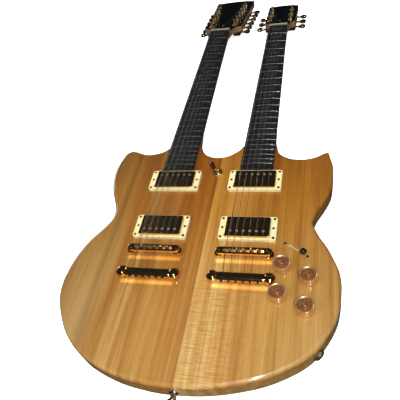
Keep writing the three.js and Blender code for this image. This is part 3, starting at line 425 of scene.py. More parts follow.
# The pockets that the necks are glued into.
heel_start = 170.5 * mm
heel_depth = 23 * mm
board_frames = {}
for neck, x in neck_places.items():
    tilt = Matrix.Rotation(-neck_tilt, 4, "X")
    board_frames[neck] = Matrix.Translation((x, 0, body_thick + neck_rise)) @ tilt
    pocket = []
    for y in (heel_start - seat_gap, body_upper + body_round):
        wide = board_half(neck, y) + seat_gap
        low = -heel_depth - seat_gap
        pocket.append([(wide, y, low), (wide, y, overrun), (-wide, y, overrun), (-wide, y, low)])
    cut(body, move(tube_of_sections("cutter", pocket), board_frames[neck]))

# The pots' holes, the lever's hole and the long slot of the blade switch, which shows its bare wood.
first_knob = Vector((126.6 * mm, -20.9 * mm))
knob_across = Vector((37.7 * mm, -17.3 * mm))
knob_down = Vector((-2.9 * mm, -46.9 * mm))
pot_hole = 5 * mm
toggle_hole = 6.1 * mm
blade_place = Vector((144.9 * mm, 9.5 * mm, body_thick))
blade_turn = math.radians(-33.4)
blade_frame = Matrix.Translation(blade_place) @ Matrix.Rotation(blade_turn, 4, "Z")
slot_half_length = 13.3 * mm
slot_half_width = 1.4 * mm
slot_flare = 0.2 * mm
slot_end_steps = 8

knob_places = {
    f"{row + 1}_{column + 1}": first_knob + knob_across * column + knob_down * row
    for row in range(2) for column in range(2)
}
for place, radius in [*((place, pot_hole) for place in knob_places.values()), (toggle_place, toggle_hole)]:
    edge = ellipse(radius, radius, round_sides, place)
    cut(body, prism("cutter", edge, body_thick / 2, body_thick + overrun))


def stadium(half_length, radius, steps):
    """A long round-ended outline along X."""
    points = []
    for i in range(2 * steps + 2):
        turn = math.pi * (i - (i > steps)) / steps - math.pi / 2
        side = 1 if i <= steps else -1
        points.append((side * (half_length - radius) + radius * math.cos(turn), radius * math.sin(turn)))
    return points


# Lacquered wood: the gloss coat gives sharp reflections, and under it each strip has its own shade, with
# lengthwise grain 2 mm apart, short dark pores and an amber tone that deepens towards the horns. The
# deepening is partly real amber toning and partly painted shade for light that falls off towards the horns.
lacquered_wood = new_finish(
    "gloss_lacquered_laminated_wood", [
        ((0.0022, 0.14, 0.004), [(0.3, "e4dace"), (0.5, "f5f1eb"), (0.7, "ffffff")], 3),
        ((0.011, 0.25, 0.02), [(0.3, "e0caac"), (0.48, "f6eee3"), (0.66, "ffffff")], 2),
        ((0.0006, 0.014, 0.002), [(0.28, "e0d3c0"), (0.36, "ffffff")], 1),
    ], bump=(0, 0.1 * mm, 0.04), Roughness=0.38, Coat_Weight=1, Coat_Roughness=0.04, Coat_IOR=1.5)
tree = lacquered_wood.node_tree
wood_colour = tree.nodes["Principled BSDF"].inputs["Base Color"]
place = add_node(tree, "ShaderNodeTexCoord").outputs["Object"]
axis = add_node(tree, "ShaderNodeSeparateXYZ", {0: place})

# The strips lie across the width, and their seams wander by a millimetre along the body.
sway_size = add_node(tree, "ShaderNodeMapping", {"Vector": place, "Scale": [1 / 0.05, 1 / 0.4, 1 / 0.05]})
sway = add_node(tree, "ShaderNodeTexNoise", {"Vector": sway_size.outputs[0], "Scale": 1, "Detail": 1})
sway_x = add_node(
    tree, "ShaderNodeMath", {0: sway.outputs[0], 1: 2 * mm, 2: -1 * mm}, operation="MULTIPLY_ADD")
strip_x = add_node(tree, "ShaderNodeMath", {0: axis.outputs["X"], 1: sway_x.outputs[0]}, operation="ADD")
across = add_node(tree, "ShaderNodeMapRange", {
    "Value": strip_x.outputs[0], "From Min": -body_half_width, "From Max": body_half_width})
strips = add_node(tree, "ShaderNodeValToRGB", {0: across.outputs[0]}, stops=[
    (0.0, "9c804e"), (0.08, "ab8c56"), (0.115, "b99e6a"), (0.14, "967a4a"), (0.15, "b79a65"),
    (0.225, "ab803c"), (0.25, "c6a56a"), (0.28, "c4a062"), (0.33, "b28544"), (0.37, "bd9652"),
    (0.43, "b88a46"), (0.5, "b98c4c"), (0.509, "a87a42"), (0.513, "e2c88e"), (0.54, "dfc284"),
    (0.557, "cfae6c"), (0.58, "dfc38a"), (0.61, "d3b275"), (0.65, "d3ad6d"), (0.7, "be9455"),
    (0.74, "c49b57"), (0.81, "bd9955"), (0.88, "c4a062"), (1.0, "be9e62"),
])

# The colour deepens along the body towards the horns: partly amber toning, partly painted shade.
length = add_node(tree, "ShaderNodeMapRange", {
    "Value": axis.outputs["Y"], "From Min": -body_lower, "From Max": body_upper})
toner_and_painted_falloff = add_node(tree, "ShaderNodeValToRGB", {0: length.outputs[0]}, stops=[
    (0.0, "ffffff"), (0.3, "f5ecda"), (0.65, "dabd7c"), (1.0, "b89442")])

# Fine ribs across the grain show on the pale strips right of the middle, most at the lower end.
rib_size = add_node(tree, "ShaderNodeMapping", {"Vector": place, "Scale": [1 / 0.02, 1 / 0.0015, 1 / 0.02]})
rib = add_node(tree, "ShaderNodeTexNoise", {"Vector": rib_size.outputs[0], "Scale": 1, "Detail": 1})
rib_tone = add_node(
    tree, "ShaderNodeValToRGB", {0: rib.outputs[0]}, stops=[(0.36, "ecdcbe"), (0.62, "ffffff")])
ribbed = add_node(tree, "ShaderNodeValToRGB", {0: across.outputs[0]}, stops=[
    (0.509, "000000"), (0.513, "ffffff"), (0.64, "ffffff"), (0.74, "000000")])
lower_end = add_node(
    tree, "ShaderNodeValToRGB", {0: length.outputs[0]}, stops=[(0.3, "ffffff"), (0.42, "555555")])
ribs = add_node(tree, "ShaderNodeMath", {0: ribbed.outputs[0], 1: lower_end.outputs[0]}, operation="MULTIPLY")
figure = add_node(tree, "ShaderNodeMix", {
    0: ribs.outputs[0], 6: linear("ffffff"), 7: rib_tone.outputs[0]}, data_type="RGBA")
for tone in (strips.outputs[0], figure.outputs[2], toner_and_painted_falloff.outputs[0]):
    mixed = add_node(
        tree, "ShaderNodeMix", {0: 1, 6: wood_colour.links[0].from_socket, 7: tone}, data_type="RGBA",
        blend_type="MULTIPLY")
    tree.links.new(mixed.outputs[2], wood_colour)

# Bare wood inside the slot is pale and dull.
bare_wood = new_finish(
    "bare_cut_wood", [((0.0008, 0.02, 0.0008), [(0.3, "dcc08c"), (0.7, "ead2a4")], 1)], Roughness=0.8)

finish_as(body, lacquered_wood)
slot_levels = [(0, -body_thick / 2), (0, -slot_flare), (slot_flare, 0), (slot_flare + overrun, overrun)]
slot = tube_of_sections("cutter", [
    [(x, y, z) for x, y in stadium(slot_half_length + grow, slot_half_width + grow, slot_end_steps)]
    for grow, z in slot_levels])
finish_as(slot, bare_wood)
cut(body, move(slot, blade_frame), material_mode="TRANSFER")
seat(body, "root", "body_wood", "body")

# Necks: each one is a single length of straight-grained maple, square where it is glued into the body and
# rounded behind the fretboard, with a pitched headstock sawn from the same wood. Clear satin lacquer.
nut_gap = seat_gap
nut_thick = 5 * mm
nut_end = scale_length + nut_gap + nut_thick
neck_depth = 21 * mm
heel_slope_depth = 22.2 * mm
heel_blend = 45 * mm
head_blend = 20 * mm
neck_stations = [
    (heel_start, heel_depth, 0), (body_upper + seat_gap, heel_depth, 0),
    (body_upper + heel_blend / 2, heel_depth, 0.45), (body_upper + heel_blend, heel_slope_depth, 0.9),
    (body_upper + 2 * heel_blend, neck_depth, 1), (scale_length - 2 * head_blend, neck_depth, 1),
    (scale_length - head_blend / 2, neck_depth, 0.8), (nut_end, neck_depth, 0.4),
    (nut_end + head_blend, neck_depth, 0.2),
]
station_steps = 5
neck_sides = 24
plate_thick = 2 * mm
plate_top = seat_gap + plate_thick
head_pitch = math.radians(10.5)
head_thick = 14 * mm
head_edge = 1.6 * mm
ear_at = 35 * mm
ear_hollow_share = 0.72
head_crown = 8.5 * mm
head_side_steps = 12
head_crown_steps = 20
head_lengths = {"12": 246 * mm, "6": 163 * mm}
ear_widths = {"12": 91 * mm, "6": 71 * mm}
head_tops = {"12": 104 * mm, "6": 75 * mm}
pitch = Matrix.Rotation(-head_pitch, 4, "X")
head_frames = {
    neck: board_frames[neck] @ Matrix.Translation((0, nut_end, -plate_top)) @ pitch for neck in neck_places}


def neck_section(neck, y, depth, round_share):
    """A neck's section: flat on top, with a back between a box and a half ellipse."""
    wide = board_half(neck, min(y, scale_length))
    section = []
    for step in range(neck_sides + 1):
        share = step / neck_sides
        box = (max(-1, min(1, 4 * share - 2)), -min(1, 4 * share, 4 - 4 * share))
        oval = (-math.cos(math.pi * share), -math.sin(math.pi * share))
        x, z = (a + (b - a) * round_share for a, b in zip(box, oval))
        section.append((wide * x, y, depth * z))
    return section


def curve_through(start, bend, end, steps):
    """Points on a curve from start towards bend and on to end, without the last."""
    points = []
    for t in (step / steps for step in range(steps)):
        a_share, b_share, c_share = (1 - t) ** 2, 2 * t * (1 - t), t * t
        points.append(tuple(a_share * a + b_share * b + c_share * c for a, b, c in zip(start, bend, end)))
    return points


def head_outline(neck):
    """A headstock's outline: narrow at the nut, hollow up to the ears, wider to a low crown."""
    start, ear, top = nut_widths[neck] / 2, ear_widths[neck] / 2, head_tops[neck] / 2
    peak = head_lengths[neck] - head_crown
    middle = (peak + ear_at) / 2
    right = [
        *curve_through((start, 0), (start, ear_at * ear_hollow_share), (ear, ear_at), head_side_steps),
        *curve_through((ear, ear_at), (ear, middle), (top, peak), head_side_steps),
    ]
    crown = curve_through((top, peak), (0, head_lengths[neck] + head_crown), (-top, peak), head_crown_steps)
    left = [(-x, y) for x, y in [*right[1:], (top, peak)][::-1]]
    return [*right, *crown, *left, (-start, 0)]


def bevel(piece, test, width, segments):
    """Rounds the edges that pass the test."""
    pick(piece, test, "EDGE")
    bpy.ops.mesh.bevel(offset=width, segments=segments, affect="EDGES")
    bpy.ops.object.mode_set(mode="OBJECT")


def flat_rim(height, tolerance=1e-5):
    """A test for edges that lie at a height."""
    return lambda middle, along: abs(middle.z - height) < tolerance and abs(along.z) < tolerance


def box_piece(name, low, high):
    """A block between two corners, made from the cube primitive."""
    bpy.ops.object.select_all(action="DESELECT")
    bpy.ops.mesh.primitive_cube_add(size=1)
    piece = bpy.context.object
    piece.name = name
    middle = [(a + b) / 2 for a, b in zip(low, high)]
    size = [b - a for a, b in zip(low, high)]
    return move(piece, Matrix.Translation(middle) @ Matrix.Diagonal((*size, 1)))


def fit(piece, material, degrees, body, slot, *nodes):
    """Finishes, smooths and seats a piece."""
    finish_as(piece, material)
    smooth(piece, degrees)
    seat(piece, body, slot, *nodes)


# Satin lacquered maple: fine straight grain along the neck with a faint flame across, browner than the body.
neck_wood = new_finish(
    "satin_lacquered_maple", [
        ((0.0014, 0.09, 0.0016), [(0.3, "745840"), (0.5, "896b50"), (0.7, "9a7e60")], 4),
        ((0.03, 0.006, 0.03), [(0.35, "e9ddd0"), (0.65, "ffffff")], 1),
        ((0.0005, 0.01, 0.0008), [(0.3, "b79a86"), (0.38, "ffffff")], 1),
    ], bump=(0, 0.1 * mm, 0.08), Roughness=0.42, Coat_Weight=0.6, Coat_Roughness=0.18)

for neck in neck_places:
    stations = []
    for (y0, depth0, round0), (y1, depth1, round1) in zip(neck_stations, neck_stations[1:]):
        for t in (step / station_steps for step in range(station_steps)):
            ease = t * t * (3 - 2 * t)
            depth, round_share = depth0 + (depth1 - depth0) * ease, round0 + (round1 - round0) * ease
            stations.append((y0 + (y1 - y0) * t, depth, round_share))
    stations.append(neck_stations[-1])
    piece = tube_of_sections(f"neck_wood_{neck}", [neck_section(neck, *station) for station in stations])
    to_head = board_frames[neck].inverted() @ head_frames[neck]
    headstock = prism("headstock", head_outline(neck), -head_thick, 0)
    bevel(headstock, flat_rim(-head_thick), head_edge, 3)
    move(headstock, to_head)
    apply_modifier(piece, "BOOLEAN", operation="UNION", solver="EXACT", object=headstock)
    bpy.data.objects.remove(headstock)
    wide = head_tops[neck]
    cut(piece, move(box_piece("cutter", (-wide, 0, 0), (wide, head_lengths[neck], head_thick)), to_head))
    fit(move(piece, board_frames[neck]), neck_wood, 35, "root", "neck_wood", f"neck_{neck}")

# Headplates: a black sheet is glued on each headstock's face, polished with it, and has a small cover over
# the end of the truss rod. Both are plain, and three bright screws hold the cover.
plate_edge = 0.5 * mm
cover_from = 7 * mm
cover_length = 34 * mm
cover_wide = 11 * mm
cover_narrow = 6 * mm
cover_curve_steps = 8
truss_cover_thick = 1.6 * mm
truss_cover_edge = 0.6 * mm
small_screw_radius = 2.1 * mm
small_screw_height = 1 * mm
slot_depth = 0.45 * mm
slot_width = 0.5 * mm


def turned(name, profile, sides=24):
    """A turned piece: circles of each radius at each height, closed flat at both ends."""
    return tube_of_sections(
        name, [[(*point, z) for point in ellipse(radius, radius, sides)] for radius, z in profile])


def joined(name, pieces):
    """One piece of several shells."""
    select_only(*pieces)
    bpy.ops.object.join()
    pieces[0].name = name
    return pieces[0]


def copy_of(piece, name, matrix):
    """A copy with its own mesh, in its place."""
    select_only(piece)
    bpy.ops.object.duplicate(linked=False)
    copy = bpy.context.object
    copy.name = name
    return move(copy, matrix)


def domed_screw(radius, height, cross=False, sides=20):
    """A screw head with a domed top and one slot, or two that cross."""
    screw = turned("screw", [
        (radius, 0), (radius, height * 0.35), (radius * 0.9, height * 0.75), (radius * 0.6, height * 0.95),
        (radius * 0.2, height)], sides)
    width = slot_width * radius / small_screw_radius
    reach = radius * (0.6 if cross else 1.1)
    for turn in ((0, math.pi / 2) if cross else (0,)):
        blade = box_piece("cutter", (-reach, -width / 2, height - slot_depth), (reach, width / 2, 2 * height))
        cut(screw, move(blade, Matrix.Rotation(turn, 4, "Z")))
    return screw


# Black sheet: dense plastic polished to a mirror, with faint buffing marks.
black_gloss = new_finish(
    "polished_black_sheet", [((0.03,) * 3, [(0.3, "020202"), (0.7, "050504")], 3)], rough=(0, 0.03, 0.09),
    Specular_IOR_Level=0.15)

# Gold plate on turned, stamped or cast brass: bright and smooth, dulled a little where hands rub it.
gold = new_finish(
    "polished_gold_plate", [((0.004,) * 3, [(0.3, "dcae62"), (0.7, "efcb88")], 3)], rough=(0, 0.09, 0.2),
    Metallic=1)

# Satin gold plate on pieces that were tumbled, not buffed: it spreads each highlight into a pale glow. Its
# tone is painted paler than the polished gold's, a painted highlight, so these pieces read as lit.
satin_gold_painted_pale = new_finish(
    "satin_gold_plate", [((0.003,) * 3, [(0.3, "e8c98a"), (0.7, "fbe8bc")], 3)], rough=(0, 0.22, 0.34),
    Metallic=1)

small_screw = domed_screw(small_screw_radius, small_screw_height, cross=True)
finish_as(small_screw, satin_gold_painted_pale)
smooth(small_screw, 40)
shoulder_at, waist_at = cover_length * 0.5, cover_length * 0.8
cover_half = [
    *curve_through(
        (cover_wide, 0), (cover_wide * 0.85, shoulder_at), (cover_narrow, waist_at), cover_curve_steps),
    *curve_through(
        (cover_narrow, waist_at), (cover_narrow * 0.8, cover_length), (0, cover_length), cover_curve_steps),
]
truss_outline = [*cover_half, (0, cover_length), *[(-x, y) for x, y in cover_half[:0:-1]], (-cover_wide, 0)]
cover_screws = [(0, 0.86), (-0.66, 0.12), (0.66, 0.12)]
for neck in neck_places:
    plate = prism(f"headplate_sheet_{neck}", head_outline(neck), seat_gap, plate_top)
    bevel(plate, flat_rim(plate_top), plate_edge, 2)
    move(plate, head_frames[neck] @ Matrix.Translation((0, seat_gap, 0)))
    fit(plate, black_gloss, 35, "root", "black_gloss", f"headplate_{neck}")
    piece = prism(f"truss_cover_{neck}", truss_outline, 0, truss_cover_thick)
    bevel(piece, flat_rim(truss_cover_thick), truss_cover_edge, 3)
    cover_frame = head_frames[neck] @ Matrix.Translation((0, cover_from, plate_top + seat_gap / 3))
    fit(move(piece, cover_frame), black_gloss, 35, "root", "black_gloss")
    screws = []
    for x, y in cover_screws:
        spot = Matrix.Translation((x * cover_wide, y * cover_length, truss_cover_thick))
        screws.append(copy_of(small_screw, "screw_copy", cover_frame @ spot))
    seat(joined(f"truss_cover_screws_{neck}", screws), "root", "gold_plate")
bpy.data.objects.remove(small_screw)

# Fretboards: near-black hardwood planed to a 305 mm radius and glued on the neck, with 22 nickel-silver
# wires hammered into it, shell leaves let into its face and small dots along the player's edge.
board_thick = 5.7 * mm
board_radius = 305 * mm
board_top = seat_gap + board_thick
board_edge = 0.6 * mm
board_steps = 12
fret_count = 22
fret_width = 2.4 * mm
fret_height = 1.1 * mm
fret_sink = 0.1 * mm
fret_inset = 0.6 * mm
fret_end_share = 0.55
fret_steps = 6
fret_sides = 8
inlay_lift = 0.05 * mm
leaf_room = 2 * mm
leaf_longest = 24 * mm
leaf_lean = math.radians(32)
dot_frets = {3: 1, 5: 1, 7: 1, 9: 1, 12: 2, 15: 1, 17: 1, 19: 1, 21: 1}
dot_radius = 1 * mm
dot_pitch = 6 * mm
dot_lift = 0.05 * mm


def crown_drop(x):
    return board_radius - math.sqrt(board_radius * board_radius - x * x)


def fret_place(fret):
    return scale_length * 2 ** (-fret / 12)


def board_section(neck, y):
    wide = board_half(neck, y)
    top = []
    for step in range(board_steps + 1):
        x = (wide - board_edge) * (1 - 2 * step / board_steps)
        top.append((x, y, board_top - crown_drop(x)))
    side = board_top - crown_drop(wide) - board_edge
    return [(-wide, y, seat_gap), (wide, y, seat_gap), (wide, y, side), *top, (-wide, y, side)]


# Oiled ebony-dark wood: almost black, with brown streaks and fine open pores along the board.
board_wood = new_finish(
    "oiled_dark_fretboard_wood", [
        ((0.003, 0.08, 0.003), [(0.3, "0c0c0b"), (0.55, "161513"), (0.75, "211f1d")], 4),
        ((0.0005, 0.009, 0.001), [(0.34, "60605c"), (0.44, "ffffff")], 1),
    ], bump=(1, 0.1 * mm, 0.25), Roughness=0.45)

# Nickel silver: pale grey metal, polished along each wire by the strings.
nickel = new_finish(
    "polished_nickel_silver", [((0.002, 0.0004, 0.002), [(0.3, "b9b8b2"), (0.7, "dcdad2")], 1)],
    rough=(0, 0.16, 0.32), Metallic=1)

# Shell: grey-green with soft cloudy figure about 4 mm across, under the board's oil.
shell = new_finish(
    "grey_green_shell", [
        ((0.004,) * 3, [(0.25, "202221"), (0.45, "3c4040"), (0.6, "2e3131"), (0.8, "56595a")], 3),
    ], Roughness=0.3, Coat_Weight=0.4)

# Cream plastic: a soft even shine over the faintest grit. As dots on the edge it shows the player the
# frets that carry a marker.
cream = new_finish(
    "moulded_cream_plastic", [((0.02,) * 3, [(0.3, "e2d196"), (0.7, "e9daa8")], 2), ((0.0007,) * 3, None, 1)],
    bump=(1, 0.05 * mm, 0.06), Roughness=0.32, Subsurface_Weight=0.05)


def leaf(length, width, lean, centre, steps=7):
    """A pointed leaf's outline, leaning from the board's length, round its centre."""
    right = curve_through((0, -length / 2), (width, 0), (0, length / 2), steps)
    left = curve_through((0, length / 2), (-width, 0), (0, -length / 2), steps)
    cos, sin = math.cos(lean), math.sin(lean)
    return [(centre[0] + x * cos - y * sin, centre[1] + x * sin + y * cos) for x, y in right + left]


for neck in neck_places:
    board_sections = [board_section(neck, y) for y in (board_end, scale_length)]
    board = tube_of_sections(f"fretboard_wood_{neck}", board_sections)
    fit(move(board, board_frames[neck]), board_wood, 25, "root", "fretboard_wood", f"fretboard_{neck}")

    wires, inlays = [], []
    for fret in range(1, fret_count + 1):
        y = fret_place(fret)
        wide = board_half(neck, y) - fret_inset
        turns = [math.pi * i / (fret_sides - 1) for i in range(fret_sides)]
        sections = []
        for step in range(fret_steps + 1):
            x = wide * (2 * step / fret_steps - 1)
            base = board_top - crown_drop(x)
            rise = fret_height * (fret_end_share if step in (0, fret_steps) else 1)
            sections.append([
                (x, y - fret_width / 2 * math.cos(a), base + rise * math.sin(a) - fret_sink) for a in turns])
        wires.append(tube_of_sections("wire", sections))

        space = fret_place(fret - 1) - y
        middle = (fret_place(fret - 1) + y) / 2
        size = min(space - fret_width - leaf_room, leaf_longest)
        spread = min(0.3 * board_half(neck, y), 0.36 * size)
        for length, width, lean, x in ((0.62, 0.16, 0, 0), (0.66, 0.2, -leaf_lean, spread),
                                       (0.66, 0.2, leaf_lean, -spread)):
            outline = leaf(size * length, size * width, lean, (x, middle))
            piece = prism("inlay", outline, board_top - board_edge, board_top)
            for corner in piece.data.vertices:
                if corner.co.z > board_top - board_edge / 2:
                    corner.co.z = board_top - crown_drop(corner.co.x) + inlay_lift
            inlays.append(piece)
    frets = move(joined(f"frets_{neck}", wires), board_frames[neck])
    fit(frets, nickel, 50, "root", "string_steel")
    leaves = move(joined(f"fretboard_leaves_{neck}", inlays), board_frames[neck])
    finish_as(leaves, shell)
    seat(leaves, "root", "fretboard_wood")

    dots = []
    dot_profile = [(dot_radius, -dot_radius), (dot_radius, 0), (dot_radius * 0.8, dot_lift)]
    out = Matrix.Rotation(-math.pi / 2, 4, "Y")
    for fret, count in dot_frets.items():
        for i in range(count):
            y = (fret_place(fret - 1) + fret_place(fret)) / 2 + dot_pitch * (i - (count - 1) / 2)
            spot = Matrix.Translation((-board_half(neck, y), y, board_top / 2))
            dots.append(move(turned("dot", dot_profile, 12), spot @ out))
    side_dots = move(joined(f"side_dots_{neck}", dots), board_frames[neck])
    finish_as(side_dots, cream)
    seat(side_dots, "root", "cream_plastic")

# Nuts: a bar of bone glued across the end of each fretboard, rounded towards the headstock and filed with
# one half-round slot for each string, so that the string lies half sunk in it.
gauges = [1.17 * mm, 0.91 * mm, 0.66 * mm, 0.43 * mm, 0.33 * mm, 0.25 * mm]
octave_share = 0.55
bridge_spread = 52 * mm
nut_spreads = {"12": 39 * mm, "6": 36 * mm}
pair_gap_bridge = 2.6 * mm
pair_gap_nut = 1.9 * mm
nut_relief = 0.9 * mm
nut_top = board_top + fret_height + nut_relief
nut_corner = 1.4 * mm
nut_fall = 0.8 * mm
nut_slot = [(1.3, 0), (0.95, 0.5), (0, 1), (-0.95, 0.5), (-1.3, 0)]


def string_list(neck):
    """Each string of a neck, bass first: its place across at the bridge and at the nut, and its radius."""
    strings = []
    twins = 2 if neck == "12" else 1
    for course, gauge in enumerate(gauges):
        share = course / (len(gauges) - 1) - 0.5
        for twin in range(twins):
            side = twin - 0.5 if twins == 2 else 0
            thin = octave_share if twins == 2 and twin == 0 else 1
            at_bridge = share * bridge_spread + side * pair_gap_bridge
            at_nut = share * nut_spreads[neck] + side * pair_gap_nut
            strings.append((at_bridge, at_nut, gauge * thin / 2))
    return strings


# Bone: warm white, with faint fibres along the bar.
bone = new_finish(
    "polished_bone", [((0.008, 0.0008, 0.0008), [(0.3, "8d866c"), (0.7, "aaa288")], 2)],
    bump=(0, 0.05 * mm, 0.05), Roughness=0.35, Subsurface_Weight=0.08)

for neck in neck_places:
    half_nut = nut_widths[neck] / 2
    edge = [(-half_nut, seat_gap), (half_nut, seat_gap), (half_nut, nut_top - nut_corner),
            (half_nut - nut_corner, nut_top)]
    for _, x, radius in string_list(neck)[::-1]:
        edge += [(x + radius * a, nut_top - radius * b) for a, b in nut_slot]
    edge += [(nut_corner - half_nut, nut_top), (-half_nut, nut_top - nut_corner)]
    sections = []
    for y, fall in ((scale_length + nut_gap, 0), (nut_end - nut_thick / 3, 0), (nut_end, nut_fall)):
        sections.append([(x, y, z - fall if z > nut_top / 2 else z) for x, z in edge])
    nut = move(tube_of_sections(f"bone_nut_{neck}", sections), board_frames[neck])
    fit(nut, bone, 25, "root", "cream_plastic", f"nut_and_strings_{neck}")

# Strings: steel wire, the thick ones wrapped in a finer wire. Each starts at a brass ball behind the
# tailpiece, bends over its saddle and the nut, and is wound down round its post.
deck_frames = {neck: Matrix.Translation((x, 0, body_thick)) for neck, x in neck_places.items()}
post_rows = {"12": (6, 36 * mm, 31 * mm, 30 * mm, 6 * mm), "6": (3, 40 * mm, 37 * mm, 25 * mm, 0)}
post_height = 14 * mm
post_radius = 3.1 * mm
post_waist = 2.5 * mm
bridge_y = -3.6 * mm
saddle_height = 14.7 * mm
tail_y = -45.6 * mm
tail_width = 14.5 * mm
tail_bottom = 3.6 * mm
tail_top = 11.4 * mm
tail_middle = (tail_bottom + tail_top) / 2
string_bend = 2 * mm
wound_from = 0.29 * mm
wraps = 2.5
wrap_steps = 12
wrap_gap = 0.1 * mm
wrap_wire = 0.3 * mm
ball_radii = {"12": 1.2 * mm, "6": 1.9 * mm}
ball_shape = [(0.4, -0.95), (0.8, -0.95), (1, -0.75), (1, 0.75), (0.8, 0.95), (0.4, 0.95)]


def post_places(neck, sign):
    count, first, pitch, column, spread = post_rows[neck]
    return [(sign * (column + spread * i / (count - 1)), first + pitch * i) for i in range(count)]


def rounded_path(points, reach, steps=4):
    """The path, with each inner corner replaced by a curve that starts and ends at the reach from it."""
    path = [points[0]]
    for before, corner, after in zip(points, points[1:], points[2:]):
        start = corner + (before - corner).normalized() * reach
        end = corner + (after - corner).normalized() * reach
        path += [Vector(point) for point in curve_through(start, corner, end, steps)] + [end]
    return path + [points[-1]]


def tube_along(name, path, radius, sides=8):
    """A round tube along a path of points, closed at its ends."""
    sections = []
    for i, point in enumerate(path):
        ahead = (path[min(i + 1, len(path) - 1)] - path[max(i - 1, 0)]).normalized()
        side = ahead.cross(Vector((0, 0, 1))).normalized()
        up = side.cross(ahead)
        sections.append([point + side * a + up * b for a, b in ellipse(radius, radius, sides)])
    return tube_of_sections(name, sections)


# Plain strings are bare steel with a soft grey shine.
plain_steel = new_finish(
    "bright_plain_steel_wire", [((0.001, 0.02, 0.001), [(0.3, "84807a"), (0.7, "a6a19a")], 1)],
    rough=(0, 0.26, 0.36), Metallic=1)

# Wound strings show the turns of their wrap wire, 0.3 mm apart, as fine bands across.
wound_steel = new_finish("nickel_wrapped_steel_wire", [], Metallic=1)
tree = wound_steel.node_tree
sockets = tree.nodes["Principled BSDF"].inputs
place = add_node(tree, "ShaderNodeTexCoord").outputs["Object"]
bands = add_node(
    tree, "ShaderNodeTexWave", {"Vector": place, "Scale": math.tau / 20 / wrap_wire}, bands_direction="Y")
wrap = bands.outputs[1]
tone = add_node(tree, "ShaderNodeValToRGB", {0: wrap}, stops=[(0.1, "70685e"), (0.6, "b2aa9f")])
spread = add_node(tree, "ShaderNodeMapRange", {"Value": wrap, "To Min": 0.42, "To Max": 0.32})
ripple = add_node(tree, "ShaderNodeBump", {"Height": wrap, "Strength": 0.5, "Distance": 0.1 * mm})
for node, socket in ((tone, "Base Color"), (spread, "Roughness"), (ripple, "Normal")):
    tree.links.new(node.outputs[0], sockets[socket])

# Ball ends are bare yellow brass.
brass = new_finish(
    "bare_turned_brass", [((0.001,) * 3, [(0.3, "bf8e58"), (0.7, "deb682")], 2)], rough=(0, 0.2, 0.35),
    Metallic=1)

for neck in neck_places:
    strings = string_list(neck)
    plain, wound, balls = [], [], []
    ball_radius = ball_radii[neck]
    ball_y = tail_y - tail_width / 2 - seat_gap - ball_radius
    lie = Matrix.Rotation(math.pi / 2, 4, "Y")
    deck, board, head = deck_frames[neck], board_frames[neck], head_frames[neck]
    for i, (at_bridge, at_nut, radius) in enumerate(strings):
        bass = i < len(strings) / 2
        post = post_places(neck, -1 if bass else 1)[i if bass else len(strings) - 1 - i]
        inward = 1 if bass else -1
        wind = post_waist + (post_radius - post_waist) / 2 + radius
        turns = []
        for step in range(round(wraps * wrap_steps) + 1):
            angle = math.tau * step / wrap_steps
            drop = step / wrap_steps * (2 * radius + wrap_gap)
            x = post[0] + inward * wind * math.cos(angle)
            z = plate_top + post_height / 2 - drop
            turns.append(head @ Vector((x, post[1] + wind * math.sin(angle), z)))
        points = [
            deck @ Vector((at_bridge, ball_y + ball_radius, tail_middle)),
            deck @ Vector((at_bridge, tail_y + tail_width / 2, tail_middle)),
            deck @ Vector((at_bridge, bridge_y, saddle_height)),
            board @ Vector((at_nut, scale_length, nut_top)),
            board @ Vector((at_nut, nut_end, nut_top)),
            turns[0],
        ]
        wire = tube_along("string", rounded_path(points, string_bend) + turns[1:], radius)
        (wound if radius > wound_from else plain).append(wire)
        ball = turned("ball", [(ball_radius * a, ball_radius * b) for a, b in ball_shape], 16)
        balls.append(move(ball, deck @ Matrix.Translation((at_bridge, ball_y, tail_middle)) @ lie))
    fit(joined(f"plain_strings_{neck}", plain), plain_steel, 60, "root", "string_steel")
    fit(joined(f"wound_strings_{neck}", wound), wound_steel, 60, "root", "string_steel")
    fit(joined(f"string_balls_{neck}", balls), brass, 40, "root", "gold_plate")

# Tuning machines: a stamped strip with pressed worm housings is screwed to the back of each headstock side.
# The slotted posts come up through turned bushings, whose flanges rest on the headplate. All gold plated.
worm_offset = 11 * mm
strip_thick = 1 * mm
strip_half_width = 7 * mm
strip_margin = 10 * mm
strip_corner = 3 * mm
strip_edge = 0.4 * mm
strip_screw_radius = 2.2 * mm
strip_screw_height = 1.1 * mm
strip_screw_margin = 2.8 * mm
housing_depth = 8 * mm
housing_half = 6 * mm
housing_inner = 6 * mm
housing_outer = 11 * mm
housing_chamfer = 2 * mm
housing_edge = 0.8 * mm
bushing_radius = 4.6 * mm
flange_radius = 5.8 * mm
flange_height = 1.4 * mm
flange_chamfer = 0.3 * mm
flange_round = 0.5 * mm
flange_mouth = 0.4 * mm
worm_radius = 2.1 * mm
worm_reach = 3 * mm
button_reach = 27 * mm
button_back = head_thick + seat_gap
post_hole = 0.9 * mm
post_hole_rise = 0.5 * mm
post_taper = 0.2 * mm
post_rim = 0.6 * mm
waist_half = 1.5 * mm
waist_foot = 3 * mm
waist_head = 3.2 * mm
waist_end = 4 * mm
sides = {"bass": -1, "treble": 1}

